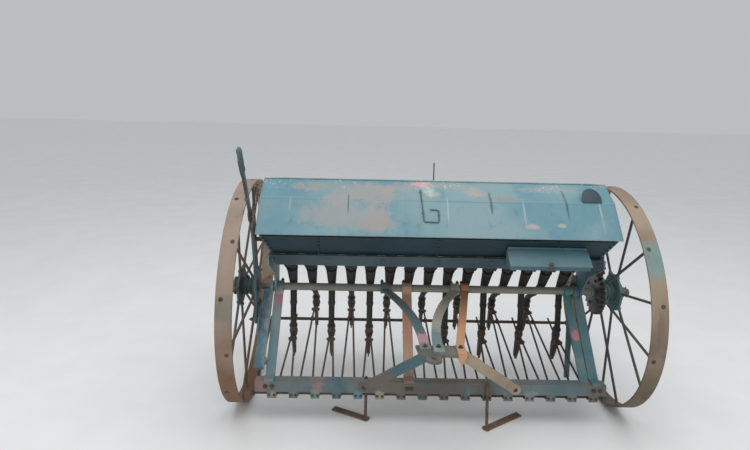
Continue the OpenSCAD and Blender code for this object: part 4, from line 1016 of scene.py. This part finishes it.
# blank plate, rounded above, on the upper front face
rest()
bpy.ops.mesh.primitive_circle_add(vertices=48, radius=0.054, fill_type="NGON", location=(0, 0, 0))
plate = bpy.context.object
bpy.ops.object.mode_set(mode="EDIT")
bpy.ops.mesh.select_all(action="SELECT")
bpy.ops.mesh.bisect(plane_co=(0, -0.018, 0), plane_no=(0, -1, 0), clear_outer=True, use_fill=False)
bpy.ops.mesh.select_all(action="SELECT")
bpy.ops.transform.resize(value=(0.96, 1.18, 1))
bpy.ops.mesh.inset(thickness=0.005, depth=0)
bpy.ops.transform.translate(value=(0, 0, 0.0015))
bpy.ops.object.mode_set(mode="OBJECT")
thick = plate.modifiers.new("thickness", "SOLIDIFY")
thick.thickness = 0.003
thick.offset = -1
only(plate)
bpy.ops.object.modifier_apply(modifier=thick.name)
face_up = Vector((0, 0.62, 0.785)).normalized()
centre = Vector((PLAQUE_X, *CREASE_F)) + up * 6 + front_out * 6 + face_up * 19
fixed(plate, lying(centre, face_up, square_to(face_up)))
dress(smooth(named(plate, "blank_plate")), "plate", "hopper_lid")
# thin rod on its foot behind the ridge
foot = Vector((14, *CREASE_R)) + fall * 91 + outward * 3
thin_rod = [wire("thin rod", [tuple(foot), tuple(foot + Vector((0, 0, 226)))], 3.5, 8),
            fixed(block("rod foot", (30, 34, 6), 1.2), lying(foot, fall, outward))]
dress(joined("thin_rod", thin_rod), "arms", "hopper_lid")

# Hopper
wall = heading(KNEE_F, MOUTH_F)
wall_out = square_to(wall)
seam_rivets = []
for k in range(5):
    rise = 16 + 26 * k
    end = END_RIVETS + END_FLARE * rise / WALL_RUN
    for x in (-end, -610, 0, 610, end):
        seam_rivets.append((tuple(Vector((x, *KNEE_F)) + wall * rise), tuple(wall_out)))
rim = [wire("mouth bead", [(-900, y, z), (900, y, z)], 3.6, 8) for y, z in
       ((MOUTH_F[0] + 1.5, MOUTH_F[1] - 2), (2 * RIDGE[0] - MOUTH_F[0] - 1.5, MOUTH_F[1] - 2))]
dress(joined("mouth_beads", rim), "hopper", "frame")
spread(small_bolt, "wall_rivets", seam_rivets, "hopper", "frame")

# Toolbox
box_fall = heading(BOX_TOP, BOX_EDGE)
box_out = -square_to(box_fall)
hasp = block("hasp", (20, 16, 3.5), 1.0)
hasp_end = block("hasp end", (18, 4, 18), 1.0)
bow = [(BOX_MIDDLE + x, y, z) for x, y, z in
       ((-8, -430, 878), (-8, -449, 874), (8, -449, 874), (8, -430, 878))]
staple = wire("staple", rounded(bow, 6), 2.6, 8)
lid_end = Vector((BOX_MIDDLE, *BOX_EDGE))
fixed(hasp, lying(lid_end - box_fall * 2 + box_out * 6.8, box_fall, box_out))
fixed(hasp_end, stand((BOX_MIDDLE, BOX_EDGE[0] - 12, BOX_EDGE[1] - 14)))
dress(joined("hasp", [hasp, hasp_end]), "arms", "toolbox_lid")
dress(named(staple, "staple"), "arms", "frame")
hem_line = [(x, BOX_EDGE[0] - 7, BOX_EDGE[1] - 8) for x in (BOX_X[0] - 4, BOX_X[1] + 4)]
edge = wire("toolbox lid hem", hem_line, 2.8, 8)
dress(named(edge, "toolbox_lid_hem"), "toolbox", "toolbox_lid")

# Lever
PIVOT = (-140, 468)
LEVER = [(PIVOT[0] + 1070 * a, PIVOT[1] + 1070 * b) for a, b in
         ((0, 0), (-.0187, .1234), (-.0467, .3009), (-.1243, .5215), (-.2636, .7159), (-.4103, .9121))]
elbow, before, tip = [Vector((LEVER_X, *LEVER[k])) for k in (3, 4, 5)]
back = (before - tip).normalized()
grip_steps = [(10, -5), (13.5, -2), (14.5, 6), (13, 26), (13.8, 60), (13, 92), (14.2, 116), (13.5, 128),
              (11, 132)]
grip = fixed(turned("grip", grip_steps, 20, 50), stand(tuple(tip), tuple(back)))
dress(named(grip, "lever_grip"), "lever", "lift_lever")
off_grip = square_to(back)
if off_grip.y > 0:
    off_grip = -off_grip
path = [tip + back * 30 + off_grip * 40, tip + back * 120 + off_grip * 34, tip + back * 150 + off_grip * 22,
        before + off_grip * 22 + back * 10, elbow + Vector((0, -22, 12))]
catch = [wire("catch rod", rounded([tuple(p) for p in path], 20), 4.2, 8)]
dog = elbow + Vector((10, -24, 18))
catch.append(fixed(block("catch dog", (14, 20, 40), 1.5, 0.7), stand(tuple(dog), (0, -0.30, 0.95))))
run = (before - elbow).normalized()
off_bar = square_to(run)
turns = []
for k in range(61):
    a = k / 60 * math.tau * 7
    centre = elbow + run * (40 + k * 0.9) * 1.2 + off_bar * 21
    turns.append(tuple(centre + (Vector((math.cos(a), 0, 0)) + off_bar * math.sin(a)) * 7.5))
catch.append(wire("catch spring", turns, 1.3, 6))
dress(joined("lever_catch", catch), "arms", "lift_lever")
guides = []
for far in (0.25, 0.8):
    place = elbow.lerp(before, far) + Vector((0, -10, 0))
    guides.append(fixed(block("rod guide", (17, 14, 34), 1.2), stand(tuple(place), tuple(off_bar))))
dress(joined("rod_guides", guides), "lever", "lift_lever")
spread(nut_and_stub, "lever_nuts", [((-983, *PIVOT), (-1, 0, 0))], "bolts", "frame")
spread(hex_bolt, "crank_bolt", [((-966, -17.1, 510.3), (-1, 0, 0))], "bolts", "lift_lever")

# Lift bail
spread(nut_and_stub, "bail_nuts", [((-942, *HINGE), (-1, 0, 0)), ((902, *HINGE), (1, 0, 0))],
       "bolts", "lift_bail")
y, z = socket(592, -12)
set_collar = turned("set collar", [(13, 0), (15, 1.2), (15, 14.8), (13, 16)], 18)
spread(set_collar, "bail_collars", [((x, y, z), (1, 0, 0)) for x in
                                    [ROW_X[i] + s * 14 - 8 for i in range(1, ROWS, 2) for s in (-1, 1)]],
       "arms", "lift_bail")
away(set_collar)
away(hex_bolt, nut_and_stub, small_bolt, square_bolt, rivet, collar)

# Floor and light
def lay_floor():
    bpy.ops.object.select_all(action="DESELECT")
    bpy.ops.mesh.primitive_plane_add(size=60, location=(0, 0, -0.0005))
    floor = bpy.context.object
    floor.name = "floor"
    f = Finish("pale floor")
    colour = f.mix(f.band(f.noise(3, 3), 0.3, 0.7), (0.80, 0.80, 0.79), (0.83, 0.83, 0.82))
    floor.data.materials.append(f.finish(colour, 0.9))


def softbox(name, place, target, size, watts):
    data = bpy.data.lights.new(name, "AREA")
    data.shape = "RECTANGLE"
    data.size, data.size_y = size
    data.energy = watts
    lamp = added(name, data)
    place, target = Vector(place), Vector(target)
    lamp.matrix_world = (Matrix.Translation(place)
                         @ (target - place).to_track_quat("-Z", "Y").to_matrix().to_4x4())


def set_light():
    world = bpy.data.worlds.new("studio")
    bpy.context.scene.world = world
    world.use_nodes = True
    tree = world.node_tree
    tree.nodes.clear()
    soft = tree.nodes.new("ShaderNodeBackground")
    soft.inputs["Color"].default_value = (0.93, 0.96, 1.0, 1)
    soft.inputs["Strength"].default_value = 0.62
    wall = tree.nodes.new("ShaderNodeBackground")
    wall.inputs["Color"].default_value = (0.500, 0.510, 0.525, 1)
    wall.inputs["Strength"].default_value = 1.0
    path = tree.nodes.new("ShaderNodeLightPath")
    seen = path.outputs["Is Camera Ray"]
    for ray in ("Is Glossy Ray", "Is Transmission Ray"):
        either = tree.nodes.new("ShaderNodeMath")
        either.operation = "MAXIMUM"
        tree.links.new(seen, either.inputs[0])
        tree.links.new(path.outputs[ray], either.inputs[1])
        seen = either.outputs["Value"]
    choice = tree.nodes.new("ShaderNodeMixShader")
    out = tree.nodes.new("ShaderNodeOutputWorld")
    tree.links.new(seen, choice.inputs["Fac"])
    tree.links.new(soft.outputs["Background"], choice.inputs[1])
    tree.links.new(wall.outputs["Background"], choice.inputs[2])
    tree.links.new(choice.outputs["Shader"], out.inputs["Surface"])
    softbox("sky above", (0.3, -1.2, 5.0), (0, 0, 0.6), (6, 4.5), 140)
    softbox("from the left", (-4.5, -3.5, 2.8), (0, 0, 0.6), (3, 2.5), 40)


lay_floor()
set_light()
bpy.context.scene.view_settings.view_transform = "Standard"
